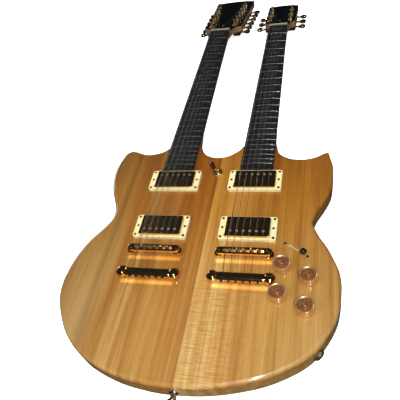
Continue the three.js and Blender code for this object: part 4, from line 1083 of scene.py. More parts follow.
collar = plate_top + seat_gap
flange_top = collar + flange_height
post_middle = plate_top + post_height / 2
post_top = plate_top + post_height
bushing = turned("bushing", [
    (bushing_radius, -button_back), (bushing_radius, collar), (flange_radius - flange_chamfer, collar),
    (flange_radius, collar + flange_chamfer), (flange_radius, flange_top - flange_round),
    (flange_radius - flange_round, flange_top), (post_radius + flange_mouth, flange_top),
    (post_radius + flange_chamfer, flange_top - flange_chamfer),
], 32)
finish_as(bushing, gold)
smooth(bushing, 30)
post = turned("post", [
    (post_radius, collar), (post_radius, flange_top), (post_radius - post_taper, post_middle - waist_foot),
    (post_waist, post_middle - waist_half), (post_waist, post_middle + waist_half),
    (post_radius - post_taper, post_middle + waist_head), (post_radius, post_middle + waist_end),
    (post_radius, post_top - post_rim), (post_radius - post_rim, post_top),
], 32)
across = turned("cutter", [(post_hole, -flange_radius), (post_hole, flange_radius)], 12)
lie = Matrix.Rotation(math.pi / 2, 4, "Y")
cut(post, move(across, Matrix.Translation((0, 0, post_middle + post_hole_rise)) @ lie))
finish_as(post, satin_gold_painted_pale)
smooth(post, 30)

housing_low = -worm_offset - housing_half
profile = [
    (housing_low, 0), (housing_low, housing_chamfer - housing_depth),
    (housing_low + housing_chamfer, -housing_depth), (housing_half - housing_chamfer, -housing_depth),
    (housing_half, housing_chamfer - housing_depth), (housing_half, 0),
]
housing = tube_of_sections(
    "housing", [[(x, y, z) for y, z in profile] for x in (-housing_inner, housing_outer)])
bevel(housing, lambda middle, along: middle.z < -housing_edge, housing_edge, 2)
bore = worm_radius + seat_gap
worm_hole = turned("cutter", [(bore, worm_reach - seat_gap), (bore, button_reach)])
cut(housing, move(worm_hole, Matrix.Translation((0, 0, -housing_depth / 2)) @ lie))
finish_as(housing, gold)
strip_screw = domed_screw(strip_screw_radius, strip_screw_height, cross=True)
finish_as(strip_screw, gold)
smooth(strip_screw, 40)

back = -button_back - strip_thick
down = Matrix.Rotation(math.pi, 4, "X")
for neck in neck_places:
    for side, sign in sides.items():
        places = post_places(neck, sign)
        (x0, y0), (x1, y1) = places[0], places[-1]
        strip_start, strip_end = y0 - strip_margin, y1 + worm_offset + strip_margin
        strip = prism("strip", [
            (x0 - strip_half_width, strip_start), (x0 + strip_half_width, strip_start),
            (x1 + strip_half_width, strip_end), (x1 - strip_half_width, strip_end),
        ], back, -button_back)
        bevel(strip, lambda middle, along: abs(along.z) > strip_thick / 2, strip_corner, 5)
        bevel(strip, flat_rim(back), strip_edge, 2)
        finish_as(strip, gold)
        smooth(strip, 30)
        mirror = Matrix.Diagonal((sign, 1, 1, 1))
        housings = [
            copy_of(housing, "housing_copy", Matrix.Translation((x, y + worm_offset, back)) @ mirror)
            for x, y in places]
        for copy in housings:
            recalculate(copy)
            smooth(copy, 30)
        piece = move(joined(f"tuner_strip_{neck}_{side}", [strip, *housings]), head_frames[neck])
        seat(piece, "root", "gold_plate", f"tuners_{neck}_{side}")
        for name, master in (("tuner_posts", post), ("tuner_bushings", bushing)):
            copies = [copy_of(master, "post_copy", Matrix.Translation((x, y, 0))) for x, y in places]
            piece = move(joined(f"{name}_{neck}_{side}", copies), head_frames[neck])
            seat(piece, "root", "gold_plate")
        # One screw stands in each space between the housings, and one past each end of the row
        free = post_rows[neck][2] + housing_low - housing_half
        gaps = [y - housing_half - free / 2 for _, y in places[1:]]
        gaps = [strip_start + strip_screw_margin, *gaps, strip_end - strip_screw_margin]
        lean = (x1 - x0) / (y1 - y0)
        screws = [
            copy_of(strip_screw, "screw_copy", Matrix.Translation((x0 + (y - y0) * lean, y, back)) @ down)
            for y in gaps]
        piece = move(joined(f"tuner_screws_{neck}_{side}", screws), head_frames[neck])
        seat(piece, "root", "gold_plate")
for master in (post, bushing, housing, strip_screw):
    bpy.data.objects.remove(master)

# Tuner buttons: an oval gold-plated grip pinned on each worm shaft, with a small screw in its outer end.
# The shaft turns in its housing; a grip, its collar and its worm are one piece.
button_length = 14 * mm
button_width = 18 * mm
button_thick = 6 * mm
button_round = 1.8 * mm
button_round_steps = 5
button_sides = 40
collar_radius = 2.8 * mm
collar_flare = 0.6 * mm
collar_from = 3 * mm
collar_shoulder = 2.4 * mm
collar_to = 0.8 * mm
collar_sink = 0.2 * mm
worm_edge = 0.4 * mm
end_screw_radius = 1.5 * mm
end_screw_height = 0.6 * mm
end_screw_sink = 0.1 * mm

levels = []
for step in range(button_round_steps + 1):
    angle = math.pi / 2 * step / button_round_steps
    rise = button_round * (1 - math.cos(angle))
    levels.append((button_round * (1 - math.sin(angle)), rise - button_thick / 2))
levels += [(inset, -z) for inset, z in levels[::-1]]
grip = tube_of_sections("grip", [
    [(button_reach + x, y, z) for x, y in ellipse(
        button_length / 2 - inset, button_width / 2 - inset, button_sides)]
    for inset, z in levels])
inner_end = button_reach - button_length / 2
worm = turned("worm", [
    (worm_radius - worm_edge, worm_reach), (worm_radius, worm_reach + worm_edge),
    (worm_radius, inner_end - collar_from), (collar_radius, inner_end - collar_shoulder),
    (collar_radius, inner_end - collar_to), (collar_radius + collar_flare, inner_end + collar_sink),
    (collar_radius + collar_flare, button_reach),
], 20)
move(worm, lie)
end_screw = domed_screw(end_screw_radius, end_screw_height)
move(end_screw, Matrix.Translation((button_reach + button_length / 2 - end_screw_sink, 0, 0)) @ lie)
for piece in (grip, worm, end_screw):
    smooth(piece, 35)
button = joined("button", [grip, worm, end_screw])
finish_as(button, gold)
for neck in neck_places:
    for side, sign in sides.items():
        mirror = Matrix.Rotation(0 if sign > 0 else math.pi, 4, "Z")
        for i, (x, y) in enumerate(post_places(neck, sign)):
            low = back - housing_depth / 2
            place = head_frames[neck] @ Matrix.Translation((x, y + worm_offset, low)) @ mirror
            piece = copy_of(button, f"tuner_button_{neck}_{side}_{i + 1}", place)
            seat(piece, f"tuner_{neck}_{side}_{i + 1}", "gold_plate", f"button_{neck}_{side}_{i + 1}")
bpy.data.objects.remove(button)

# Pickup rings: moulded cream frames screwed to the body by four dark screws. One more screw at each end
# holds the pickup on its spring and sets its height.
ring_length = 89.5 * mm
ring_width = 44.7 * mm
ring_height = 6.2 * mm
ring_round = 4 * mm
ring_edge = 0.8 * mm
ring_draft = 0.5 * mm
ring_screw = 4.4 * mm
sink_radius = 2.5 * mm
sink_depth = 0.8 * mm
sunk_screw = 0.5 * mm
dark_screw_radius = 2.2 * mm
dark_screw_height = 0.9 * mm
can_length = 69.6 * mm
can_width = 37.6 * mm
can_round = 2.6 * mm
can_depth = 12 * mm
route_margin = 1.2 * mm
route_depth = 16 * mm
pickups = {"neck": (145.7 * mm, 9.4 * mm, 1), "bridge": (43.3 * mm, 10.6 * mm, -1)}


def rounded_box(length, width, radius, steps=5):
    """A rectangle's outline with round corners."""
    points = []
    for i, (a, b) in enumerate(((1, 1), (-1, 1), (-1, -1), (1, -1))):
        for step in range(steps + 1):
            angle = math.pi / 2 * (i + step / steps)
            x = a * (length / 2 - radius) + radius * math.cos(angle)
            points.append((x, b * (width / 2 - radius) + radius * math.sin(angle)))
    return points


def can_outline(grow):
    return rounded_box(can_length + 2 * grow, can_width + 2 * grow, can_round + grow)


def sink(piece, places, radius, depth, height):
    """Countersinks a piece's top at each place."""
    cone = [(radius - depth, height - depth), (radius + overrun, height + overrun)]
    holes = [move(turned("hole", cone), Matrix.Translation((x, y, 0))) for x, y in places]
    cut(piece, joined("cutter", holes))


# Dark screws: blackened steel with worn slots.
black_steel = new_finish(
    "blackened_screw_steel", [((0.001,) * 3, [(0.3, "38322c"), (0.7, "6a6056")], 3)], rough=(0, 0.3, 0.5),
    Metallic=1)

dark_screw = domed_screw(dark_screw_radius, dark_screw_height, cross=True)
finish_as(dark_screw, black_steel)
smooth(dark_screw, 40)
ring_top = seat_gap + ring_height
ring = tube_of_sections("ring", [
    [(x, y, z) for x, y in rounded_box(ring_length - inset, ring_width - inset, ring_round - inset / 2)]
    for inset, z in ((0, seat_gap), (ring_draft, ring_top))])
bevel(ring, flat_rim(ring_top), ring_edge, 4)
cut(ring, prism("cutter", can_outline(seat_gap), -overrun, ring_height + overrun))
corners = [
    (a * (ring_length / 2 - ring_screw), b * (ring_width / 2 - ring_screw)) for a in (-1, 1) for b in (-1, 1)]
ends = [(a * (ring_length + can_length) / 4, 0) for a in (-1, 1)]
sink(ring, corners + ends, sink_radius, sink_depth, ring_top)
finish_as(ring, cream)
smooth(ring, 35)
routes = []
for neck in neck_places:
    for name, (y, _, _) in pickups.items():
        frame_here = deck_frames[neck] @ Matrix.Translation((0, y, 0))
        piece = copy_of(ring, f"cream_ring_{neck}_{name}", frame_here)
        seat(piece, "root", "cream_plastic", f"ring_{neck}_{name}")
        for kind, spots, material in (("ring", corners, black_steel), ("height", ends, nickel)):
            screws = []
            for a, b in spots:
                spot = frame_here @ Matrix.Translation((a, b, ring_top - sunk_screw))
                screws.append(copy_of(dark_screw, "screw_copy", spot))
            piece = joined(f"{kind}_screws_{neck}_{name}", screws)
            finish_as(piece, material)
            seat(piece, "root", "grey_steel")
        routes.append(move(prism("route", can_outline(route_margin), -route_depth, overrun), frame_here))
cut(body, joined("cutter", routes))
bpy.data.objects.remove(ring)

# Pickups: wax-potted coils under a drawn brass cover, gold plated, with six slotted pole screws standing
# through one side of it: the side towards the neck on one pickup, towards the bridge on the other.
can_edge = 1.5 * mm
pole_count = 6
pole_offset = 9.2 * mm
pole_pitch = 10.2 * mm
pole_radius = 2 * mm
pole_height = 0.7 * mm
pole_sunk = 0.3 * mm
pole_gap = 0.2 * mm
pole_hollow = 0.5 * mm

# The poles' plating is given a pale satin tone, a painted highlight, so each one shows as a small light dot.
pole_steel_painted_glint = new_finish(
    "pale_nickel_pole_steel_painted_glint", [((0.001,) * 3, [(0.3, "dcd2c4"), (0.7, "f8f1e6")], 3)],
    rough=(0, 0.38, 0.55), Metallic=1)

pole = domed_screw(pole_radius, pole_height + pole_sunk, sides=24)
finish_as(pole, pole_steel_painted_glint)
smooth(pole, 40)
for neck in neck_places:
    for name, (y, top, pole_side) in pickups.items():
        frame_here = deck_frames[neck] @ Matrix.Translation((0, y, 0))
        can = prism(f"pickup_can_{neck}_{name}", can_outline(0), -can_depth, top)
        bevel(can, flat_rim(top), can_edge, 4)
        poles = [
            ((i - (pole_count - 1) / 2) * pole_pitch, pole_side * pole_offset) for i in range(pole_count)]
        sink(can, poles, pole_radius + pole_gap, pole_hollow, top)
        fit(move(can, frame_here), gold, 35, "root", "pickup_cover", f"pickup_{neck}_{name}")
        screws = [
            copy_of(pole, "pole_copy", frame_here @ Matrix.Translation((a, b, top - pole_sunk)))
            for a, b in poles]
        seat(joined(f"pickup_poles_{neck}_{name}", screws), "root", "gold_plate")
bpy.data.objects.remove(pole)

# Bridges: a cast bar on two threaded posts with knurled height wheels. Six brass saddles sit in the bar's
# channel, each filed for its strings and held by a slotted screw through the bar's wall.
bar_length = 84 * mm
bar_width = 12 * mm
bar_bottom = 7.2 * mm
bar_top = 12.6 * mm
bar_edge = 0.8 * mm
bar_flat = 0.1 * mm
bar_round_steps = 10
channel_length = 62 * mm
channel_width = 7 * mm
channel_depth = 2.4 * mm
channel_round = 1 * mm
saddle_width = 8.6 * mm
saddle_half_depth = 3.2 * mm
saddle_stagger = 0.35 * mm
saddle_gap = 0.05 * mm
saddle_ridge = 0.3 * mm
saddle_groove = 0.3 * mm
groove_step = 1.6
saddle_screw_radius = 1.7 * mm
saddle_screw_height = 1.1 * mm
saddle_screw_drop = 2.4 * mm
bridge_post_half = 37 * mm
bridge_post_radius = 2.6 * mm
bridge_post_depth = 18 * mm
bridge_post_top = 13.4 * mm
bridge_post_edge = 0.5 * mm
bridge_post_gap = 0.1 * mm
bridge_slot_half = 0.4 * mm
bridge_slot_depth = 0.7 * mm
wheel_radius = 7.5 * mm
wheel_bottom = 3.6 * mm
wheel_thick = 2.4 * mm
wheel_tooth = 0.3 * mm
wheel_teeth = 36
glow_ahead = 5.5 * mm
glow_height = 5 * mm
glow_width = 6 * mm
glow_spread = math.radians(60)
glow_strength = 0.0026
glow_colour = "fff0c4"


def knurled(name, radius, z0, z1, teeth, depth):
    """A disc with teeth round its edge and chamfered rims."""
    sections = []
    for shrink, z in ((depth, z0), (0, z0 + depth), (0, z1 - depth), (depth, z1)):
        section = []
        for i, (x, y) in enumerate(ellipse(1, 1, 2 * teeth)):
            reach = radius - shrink - depth * (i % 2)
            section.append((x * reach, y * reach, z))
        sections.append(section)
    return tube_of_sections(name, sections)


def glow(name, frame_here, length, front):
    """A narrow warm lamp for the light that a gold bar's front throws down on the wood before it."""
    bpy.ops.object.light_add(type="AREA")
    lamp = bpy.context.object
    lamp.name = name
    lamp.data.shape = "RECTANGLE"
    lamp.data.size = length
    lamp.data.size_y = glow_width
    lamp.data.spread = glow_spread
    lamp.data.energy = glow_strength
    lamp.data.color = linear(glow_colour)[:3]
    lamp.matrix_world = frame_here @ Matrix.Translation((0, front - glow_ahead, glow_height))
    lamp.visible_camera = False
    lamp.visible_glossy = False


def bored(radius, low, high, sides, spots):
    """Cutters for round holes between two heights at each spot, as one piece."""
    holes = [move(turned("hole", [(radius, low), (radius, high)], sides), spot) for spot in spots]
    return joined("cutter", holes)


bores = []
bridge_spots = [Matrix.Translation((sign * bridge_post_half, 0, 0)) for sign in sides.values()]
upright = Matrix.Rotation(-math.pi / 2, 4, "X")
for neck in neck_places:
    frame_here = deck_frames[neck] @ Matrix.Translation((0, bridge_y, 0))
    glow(f"bridge_glow_{neck}", frame_here, bar_length, -bar_width / 2)
    bar_outline = rounded_box(bar_length, bar_width, bar_width / 2 - bar_flat, bar_round_steps)
    bar = prism(f"bridge_bar_{neck}", bar_outline, bar_bottom, bar_top)
    bevel(bar, flat_rim(bar_top), bar_edge, 3)
    bevel(bar, flat_rim(bar_bottom), bar_edge, 2)
    channel = rounded_box(channel_length, channel_width, channel_round)
    cut(bar, prism("cutter", channel, bar_top - channel_depth, bar_top + overrun))
    cut(bar, bored(bridge_post_radius + bridge_post_gap, 0, 2 * bar_top, 32, bridge_spots))
    fit(move(bar, frame_here), gold, 35, "root", "gold_plate", f"bridge_{neck}")

    saddles, screws, posts, wheels = [], [], [], []
    strings = string_list(neck)
    twins = len(strings) // len(gauges)
    rest = saddle_height - gauges[0] / 2
    low = bar_top - channel_depth + saddle_gap
    for i in range(len(gauges)):
        centre = (i / (len(gauges) - 1) - 0.5) * bridge_spread
        shift = saddle_stagger * (i % 3 - 1)
        stations = [(-saddle_width / 2, rest)]
        for x, _, radius in strings[i * twins:(i + 1) * twins]:
            stations += [
                (x - centre + step * radius * groove_step, saddle_height - radius + abs(step) * saddle_groove)
                for step in (-1, 0, 1)]
        stations.append((saddle_width / 2, rest))
        sections = [[
            (x, -saddle_half_depth, low), (x, saddle_half_depth, low), (x, saddle_half_depth, bar_top),
            (x, shift + saddle_ridge, peak), (x, shift - saddle_ridge, peak),
            (x, -saddle_half_depth, bar_top),
        ] for x, peak in stations]
        saddles.append(move(tube_of_sections("saddle", sections), Matrix.Translation((centre, 0, 0))))
        spot = Matrix.Translation((centre, bar_width / 2, bar_top - saddle_screw_drop))
        screws.append(move(domed_screw(saddle_screw_radius, saddle_screw_height), spot @ upright))
    for spot in bridge_spots:
        stud = turned("stud", [
            (bridge_post_radius, -bridge_post_depth),
            (bridge_post_radius, bridge_post_top - bridge_post_edge),
            (bridge_post_radius - bridge_post_edge, bridge_post_top)], 32)
        cut(stud, box_piece(
            "cutter", (-wheel_radius, -bridge_slot_half, bridge_post_top - bridge_slot_depth),
            (wheel_radius, bridge_slot_half, 2 * bar_top)))
        posts.append(move(stud, spot))
        wheel = knurled(
            "wheel", wheel_radius, wheel_bottom, wheel_bottom + wheel_thick, wheel_teeth, wheel_tooth)
        wheels.append(move(wheel, spot))
    bores.append(bored(
        bridge_post_radius + seat_gap, -bridge_post_depth - seat_gap, overrun, 24,
        [frame_here @ spot for spot in bridge_spots]))
    for name, parts, material, angle in (
            ("bridge_saddles", saddles, brass, 30), ("bridge_screws", screws, black_steel, 40),
            ("bridge_posts", posts, gold, 30), ("bridge_wheels", wheels, gold, 20)):
        fit(move(joined(f"{name}_{neck}", parts), frame_here), material, angle, "root", "gold_plate")

# Tailpieces: a cast bar drilled through for the strings, with a hooked lug at each end. Heavy slotted studs
# screwed into bushings in the body hold the lugs down.
tail_bar_half = 34 * mm
tail_bar_end = 3 * mm
tail_foot = 2 * mm
tail_curve_steps = 8
lug_radius = 8.6 * mm
lug_top = 9.6 * mm
lug_chamfer = 0.6 * mm
lug_round = 0.8 * mm
lug_round_inner = 0.3 * mm
stud_half = 41 * mm
stud_radius = 6.4 * mm
stud_top = 12.6 * mm
stud_dome = 1.6 * mm
stud_depth = 18 * mm
stud_lift = 0.1 * mm
stud_chamfer = 0.3 * mm
stud_slot_half = 0.9 * mm
stud_slot_depth = 1.2 * mm
shank_radius = 4 * mm
shank_gap = 0.2 * mm
string_holes = {"12": 1.05 * mm, "6": 1.3 * mm}

wide = tail_width / 2
foot = tail_bottom + tail_foot
tail_section = [
    *curve_through((-wide, foot), (-wide, tail_top), (0, tail_top), tail_curve_steps),
    *curve_through((0, tail_top), (wide, tail_top), (wide, foot), tail_curve_steps),
    (wide, foot), (wide - tail_foot, tail_bottom), (tail_foot - wide, tail_bottom),
]
bar_shares = [
    (-tail_bar_half - tail_bar_end, 0.72), (-tail_bar_half, 0.96), (-tail_bar_half + tail_bar_end, 1)]
bar_shares += [(-x, share) for x, share in bar_shares[::-1]]
lug_profile = [
    (lug_radius - lug_chamfer, tail_bottom), (lug_radius, tail_bottom + lug_chamfer),
    (lug_radius, lug_top - lug_round), (lug_radius - lug_round_inner, lug_top - lug_round_inner),
    (lug_radius - lug_round, lug_top),
]
stud_foot = lug_top + stud_lift
stud_profile = [
    (shank_radius, -stud_depth), (shank_radius, stud_foot), (stud_radius - stud_chamfer, stud_foot),
    (stud_radius, stud_foot + stud_chamfer), (stud_radius, stud_top - stud_dome),
    (stud_radius - 0.5 * stud_dome, stud_top - 0.4 * stud_dome), (stud_radius - 1.5 * stud_dome, stud_top),
]
stud_spots = [Matrix.Translation((sign * stud_half, 0, 0)) for sign in sides.values()]
for neck in neck_places:
    frame_here = deck_frames[neck] @ Matrix.Translation((0, tail_y, 0))
    glow(f"tailpiece_glow_{neck}", frame_here, 2 * stud_half, -wide)
    bar = tube_of_sections(f"tailpiece_bar_{neck}", [
        [(x, y * share, tail_middle + (z - tail_middle) * share) for y, z in tail_section]
        for x, share in bar_shares])
    for spot in stud_spots:
        lug = move(turned("lug", lug_profile, 40), spot)
        apply_modifier(bar, "BOOLEAN", operation="UNION", solver="EXACT", object=lug)
        bpy.data.objects.remove(lug)
    string_spots = [Matrix.Translation((x, 0, tail_middle)) @ upright for x, _, _ in string_list(neck)]
    holes = bored(string_holes[neck], -2 * wide, 2 * wide, 12, string_spots)
    shanks = bored(shank_radius + shank_gap, -overrun, stud_top, 32, stud_spots)
    cut(bar, joined("cutter", [holes, shanks]))
    fit(move(bar, frame_here), gold, 35, "root", "gold_plate", f"tailpiece_{neck}")
    studs = []
    for spot in stud_spots:
        stud = turned("stud", stud_profile, 40)
        cut(stud, box_piece(
            "cutter", (-lug_radius, -stud_slot_half, stud_top - stud_slot_depth),
            (lug_radius, stud_slot_half, 2 * stud_top)))
        studs.append(move(stud, frame_here @ spot))
    fit(joined(f"tailpiece_studs_{neck}", studs), gold, 30, "root", "gold_plate")
    bores.append(bored(
        shank_radius + seat_gap, -stud_depth - seat_gap, overrun, 24,
        [frame_here @ spot for spot in stud_spots]))
cut(body, joined("cutter", bores))

# Knobs: clear amber plastic moulded over a copper-gold disc, with a dished top and a raised centre. Each
# is pushed on the split shaft of its control, which is nutted to the body from above.
knob_base = 13 * mm
knob_base_edge = 0.4 * mm
knob_step = 1.4 * mm
knob_flare = 0.2 * mm
knob_top_radius = 12.3 * mm
knob_top_edge = 0.6 * mm
knob_bottom = 1 * mm
knob_top = 13 * mm
knob_rim = 0.5 * mm
knob_dish = 1.6 * mm
knob_slope = 1.5 * mm
knob_hollow = 9.4 * mm
knob_hollow_height = 4.6 * mm
foil_lift = 0.08 * mm
foil_rings = [
    (0.8, 0.05), (0.75, 0.36), (0.68, 0.4), (0.61, 0.08), (0.52, 0.08), (0.47, 0.46), (0.4, 0.5),
    (0.34, 0.12), (0.25, 0.12), (0.2, 0.5), (0.13, 0.72), (0.04, 0.8),
]
shaft_radius = 3 * mm
shaft_depth = 10 * mm

# Clear amber plastic under a hard clear coat, shaded as opaque: its pale golden tone is painted light,
# standing for the wood's light that the skirt lets through.
amber = new_finish(
    "clear_amber_plastic", [((0.003,) * 3, [(0.3, "a8703a"), (0.7, "d8a25e")], 2)],
    Metallic=0.35, Roughness=0.3, Coat_Weight=1, Coat_Roughness=0.05)

# Copper foil pressed over the knob's moulded rings: dark where it faces up, brighter on each ring's slope.
copper_foil = new_finish(
    "ringed_copper_foil", [((0.002,) * 3, [(0.3, "8a5432"), (0.7, "c08654")], 2)],
    Metallic=0.7, Roughness=0.33)

# The dish's sloping wall is the same foil seen through clear plastic, painted much paler: a painted highlight
# for the lamp that its far side throws back.
copper_rim_painted_highlight = new_finish(
    "copper_foil_rim_painted_highlight", [((0.002,) * 3, [(0.3, "e2b084"), (0.7, "fad4ae")], 2)],
    Metallic=0.9, Roughness=0.4)

dish = knob_top_radius - knob_rim
dish_floor = dish - knob_slope
floor_z = knob_top - knob_dish
hollow_top = knob_bottom + knob_hollow_height
knob_shell = [
    (shaft_radius, -shaft_depth), (shaft_radius, hollow_top), (knob_hollow, hollow_top),
    (knob_hollow, knob_bottom), (knob_base - knob_base_edge, knob_bottom),
    (knob_base, knob_bottom + knob_base_edge), (knob_top_radius + knob_flare, knob_bottom + knob_step),
    (knob_top_radius, knob_top - knob_top_edge), (knob_top_radius - knob_flare, knob_top - knob_flare),
    (knob_top_radius - knob_top_edge, knob_top), (dish, knob_top), (dish_floor, floor_z),
]
foil_wall = [
    (dish - 1.3 * knob_slope, floor_z - foil_lift), (dish_floor, floor_z - foil_lift),
    (dish - foil_lift, knob_top - foil_lift), (dish - foil_lift, knob_top - foil_lift / 2),
    (dish_floor - foil_lift, floor_z + foil_lift), (dish - 1.3 * knob_slope, floor_z),
]
foil_disc = [
    (dish_floor, floor_z - foil_lift), (dish_floor, floor_z + foil_lift),
    *((dish * a, floor_z + knob_dish * b) for a, b in foil_rings),
]
knob_parts = [
    ("shell", knob_shell, amber, 25), ("rim", foil_wall, copper_rim_painted_highlight, 20),
    ("foil", foil_disc, copper_foil, 50),
]
for name, (x, y) in knob_places.items():
    for kind, edge, material, angle in knob_parts:
        piece = move(turned(f"knob_{kind}_{name}", edge, 64), Matrix.Translation((x, y, body_thick)))
        nodes = [f"knob_{name}"] if kind == "shell" else []
        fit(piece, material, angle, f"control_{name}", "clear_amber", *nodes)

# Toggle switch: a turned lever with a dark amber tip rocks in a threaded bushing. A knurled nut holds the
# bushing in the body, and the contacts hang in the round cavity below.
toggle_lean = math.radians(19)
toggle_pivot = 1 * mm
toggle_ball = 2.6 * mm
toggle_ball_turns = (-1.3, -0.9, -0.5, 0, 0.5, 0.9)
toggle_rod_radius = 1.5 * mm
toggle_rod = 13 * mm
toggle_rod_sink = 1 * mm
toggle_case_radius = 9 * mm
toggle_case = 13 * mm
toggle_bush = 5.8 * mm
toggle_bush_top = 6 * mm
toggle_bush_edge = 0.4 * mm
toggle_nut = 8.6 * mm
toggle_nut_height = 2.8 * mm
toggle_nut_gap = 0.05 * mm
toggle_nut_teeth = 40
toggle_nut_tooth = 0.25 * mm
toggle_mouth = 4.4 * mm
toggle_well = 3 * mm
tip_length = 13 * mm
tip_radius = 4.4 * mm
tip_neck = 3.5 * mm
tip_neck_edge = 0.4 * mm
tip_neck_height = 1.2 * mm
tip_swell = 0.25 * mm
tip_swell_height = 4 * mm
tip_shoulder = 0.2 * mm
tip_shoulder_drop = 1.6 * mm
tip_end_radius = 3.2 * mm
tip_end_drop = 0.6 * mm
tip_crown_drop = 0.15 * mm

# Dark amber plastic, nearly brown, polished.
dark_amber = new_finish(
    "polished_dark_amber_plastic", [((0.004, 0.004, 0.01), [(0.3, "120401"), (0.7, "2c0f04")], 3)],
    Roughness=0.25, Coat_Weight=0.1)

toggle_frame = Matrix.Translation((*toggle_place, body_thick))
ceiling = -top_skin - seat_gap
bush = turned("bush", [
    (toggle_case_radius, ceiling - toggle_case), (toggle_case_radius, ceiling), (toggle_bush, ceiling),
    (toggle_bush, toggle_bush_top - toggle_bush_edge), (toggle_bush - toggle_bush_edge, toggle_bush_top),
    (toggle_mouth, toggle_bush_top), (toggle_ball + seat_gap, toggle_pivot + toggle_ball / 2),
    (toggle_ball + seat_gap, -toggle_well),
], 40)
nut_ring = knurled(
    "nut", toggle_nut, seat_gap, seat_gap + toggle_nut_height, toggle_nut_teeth, toggle_nut_tooth)
nut_bore = toggle_bush + toggle_nut_gap
cut(nut_ring, turned("cutter", [(nut_bore, -overrun), (nut_bore, 2 * toggle_bush_top)], 40))
smooth(bush, 30)
smooth(nut_ring, 20)
piece = joined("toggle_bushing", [bush, nut_ring])
finish_as(piece, satin_gold_painted_pale)
seat(move(piece, toggle_frame), "root", "gold_plate", "toggle_switch")
lever_frame = toggle_frame @ Matrix.Translation((0, 0, toggle_pivot)) @ Matrix.Rotation(-toggle_lean, 4, "Y")
rod = turned("toggle_rod", [
    *((toggle_ball * math.cos(a), toggle_ball * math.sin(a)) for a in toggle_ball_turns),
    (toggle_rod_radius, toggle_ball), (toggle_rod_radius, toggle_rod + toggle_rod_sink)], 24)
fit(move(rod, lever_frame), gold, 40, "toggle", "gold_plate", "toggle_lever")
tip_end = toggle_rod + tip_length
tip = turned("toggle_tip", [
    (tip_neck - tip_neck_edge, toggle_rod), (tip_neck, toggle_rod + tip_neck_edge),
    (tip_neck, toggle_rod + tip_neck_height), (tip_neck + tip_swell, toggle_rod + tip_swell_height),
    (tip_radius, tip_end - tip_radius), (tip_radius - tip_shoulder, tip_end - tip_shoulder_drop),
    (tip_end_radius, tip_end - tip_end_drop), (tip_end_radius * 0.6, tip_end - tip_crown_drop),
    (tip_end_radius * 0.2, tip_end),
], 32)
fit(move(tip, lever_frame), dark_amber, 50, "toggle", "dark_amber")

# Blade switch: a steel lever with a moulded black cap slides in the slanted slot. The frame hangs on two
# nickel-plated screws through the top, and the lever swings on a pin between its cheeks.
blade_lean = math.radians(23.6)
blade_pivot = 22 * mm
blade_width = 5 * mm
blade_thick = 1.4 * mm
blade_edge = 0.3 * mm
blade_tail = 4 * mm
blade_pin = 1.3 * mm
blade_pin_end = 0.5 * mm
blade_side_gap = 0.4 * mm
blade_sheet = 1.2 * mm
blade_frame_length = 47 * mm
blade_frame_width = 9 * mm
blade_frame_corner = 1.5 * mm
blade_screw_half = 19.8 * mm
blade_screw_lift = 0.05 * mm
cheek_length = 28 * mm
cheek_below = 3 * mm
cap_from = 27 * mm
cap_height = 9.5 * mm
cap_width = 9.2 * mm
cap_thick = 6.4 * mm
cap_round = 2.9 * mm
cap_foot = 1.2 * mm
cap_shoulder = 1.6 * mm
cap_crown = 0.5 * mm
cap_gap = 0.1 * mm

# Black plastic, rubbed to a soft shine.
black_matt = new_finish(
    "moulded_black_plastic", [((0.002,) * 3, [(0.3, "070707"), (0.7, "100f0f")], 3)],
    bump=(0, 0.05 * mm, 0.1), Roughness=0.3)

# Grey steel: stamped sheet and turned pins, dull nickel plated. The pots' cases have it too.
grey_steel = new_finish(
    "dull_nickel_plated_steel", [((0.003,) * 3, [(0.3, "85878a"), (0.7, "a3a5a8")], 3)], rough=(0, 0.3, 0.5),
    Metallic=1)

for name in knob_places:
    finish_as(bpy.data.objects[f"pot_{name}"], grey_steel)

inner = blade_thick / 2 + blade_side_gap
outer = inner + blade_sheet
under = ceiling - blade_sheet
flange = box_piece(
    "flange", (-blade_frame_length / 2, -blade_frame_width / 2, under),
    (blade_frame_length / 2, blade_frame_width / 2, ceiling))
bevel(flange, lambda middle, along: abs(along.z) > blade_sheet / 2, blade_frame_corner, 4)
cut(flange, prism("cutter", stadium(slot_half_length, inner, slot_end_steps), ceiling - overrun, 0))
cheeks = [
    box_piece("cheek", (-cheek_length / 2, y0, -blade_pivot - cheek_below), (cheek_length / 2, y1, under))
    for y0, y1 in ((-outer, -inner), (inner, outer))]
pin = turned("pin", [(blade_pin, -outer - blade_pin_end), (blade_pin, outer + blade_pin_end)], 20)
move(pin, Matrix.Translation((0, 0, -blade_pivot)) @ Matrix.Rotation(math.pi / 2, 4, "X"))
piece = move(joined("blade_switch_frame", [flange, *cheeks, pin]), blade_frame)
fit(piece, grey_steel, 30, "root", "grey_steel", "blade_switch")
screws = [
    copy_of(dark_screw, "screw_copy", blade_frame @ Matrix.Translation((
        sign * blade_screw_half, 0, blade_screw_lift))) for sign in sides.values()]
piece = joined("blade_switch_screws", screws)
finish_as(piece, nickel)
seat(piece, "root", "grey_steel")

lever_frame = blade_frame @ Matrix.Translation((0, 0, -blade_pivot)) @ Matrix.Rotation(blade_lean, 4, "Y")
lever_top = cap_from + overrun
blade = box_piece(
    "blade", (-blade_width / 2, -blade_thick / 2, -blade_tail), (blade_width / 2, blade_thick / 2, lever_top))
bevel(blade, lambda middle, along: abs(along.z) > blade_tail, blade_edge, 2)
eye = turned("cutter", [(blade_pin + seat_gap, -overrun), (blade_pin + seat_gap, overrun)])
cut(blade, move(eye, Matrix.Rotation(math.pi / 2, 4, "X")))
fit(move(blade, lever_frame), grey_steel, 30, "blade", "grey_steel", "blade_lever")
cap_levels = [
    (0.86, 0), (1, cap_foot), (0.97, cap_height * 0.5), (1, cap_height - cap_shoulder),
    (0.88, cap_height - cap_crown), (0.6, cap_height),
]
cap = tube_of_sections("blade_cap", [
    [(x, y, cap_from + z) for x, y in rounded_box(cap_width * share, cap_thick * share, cap_round * share)]
    for share, z in cap_levels])
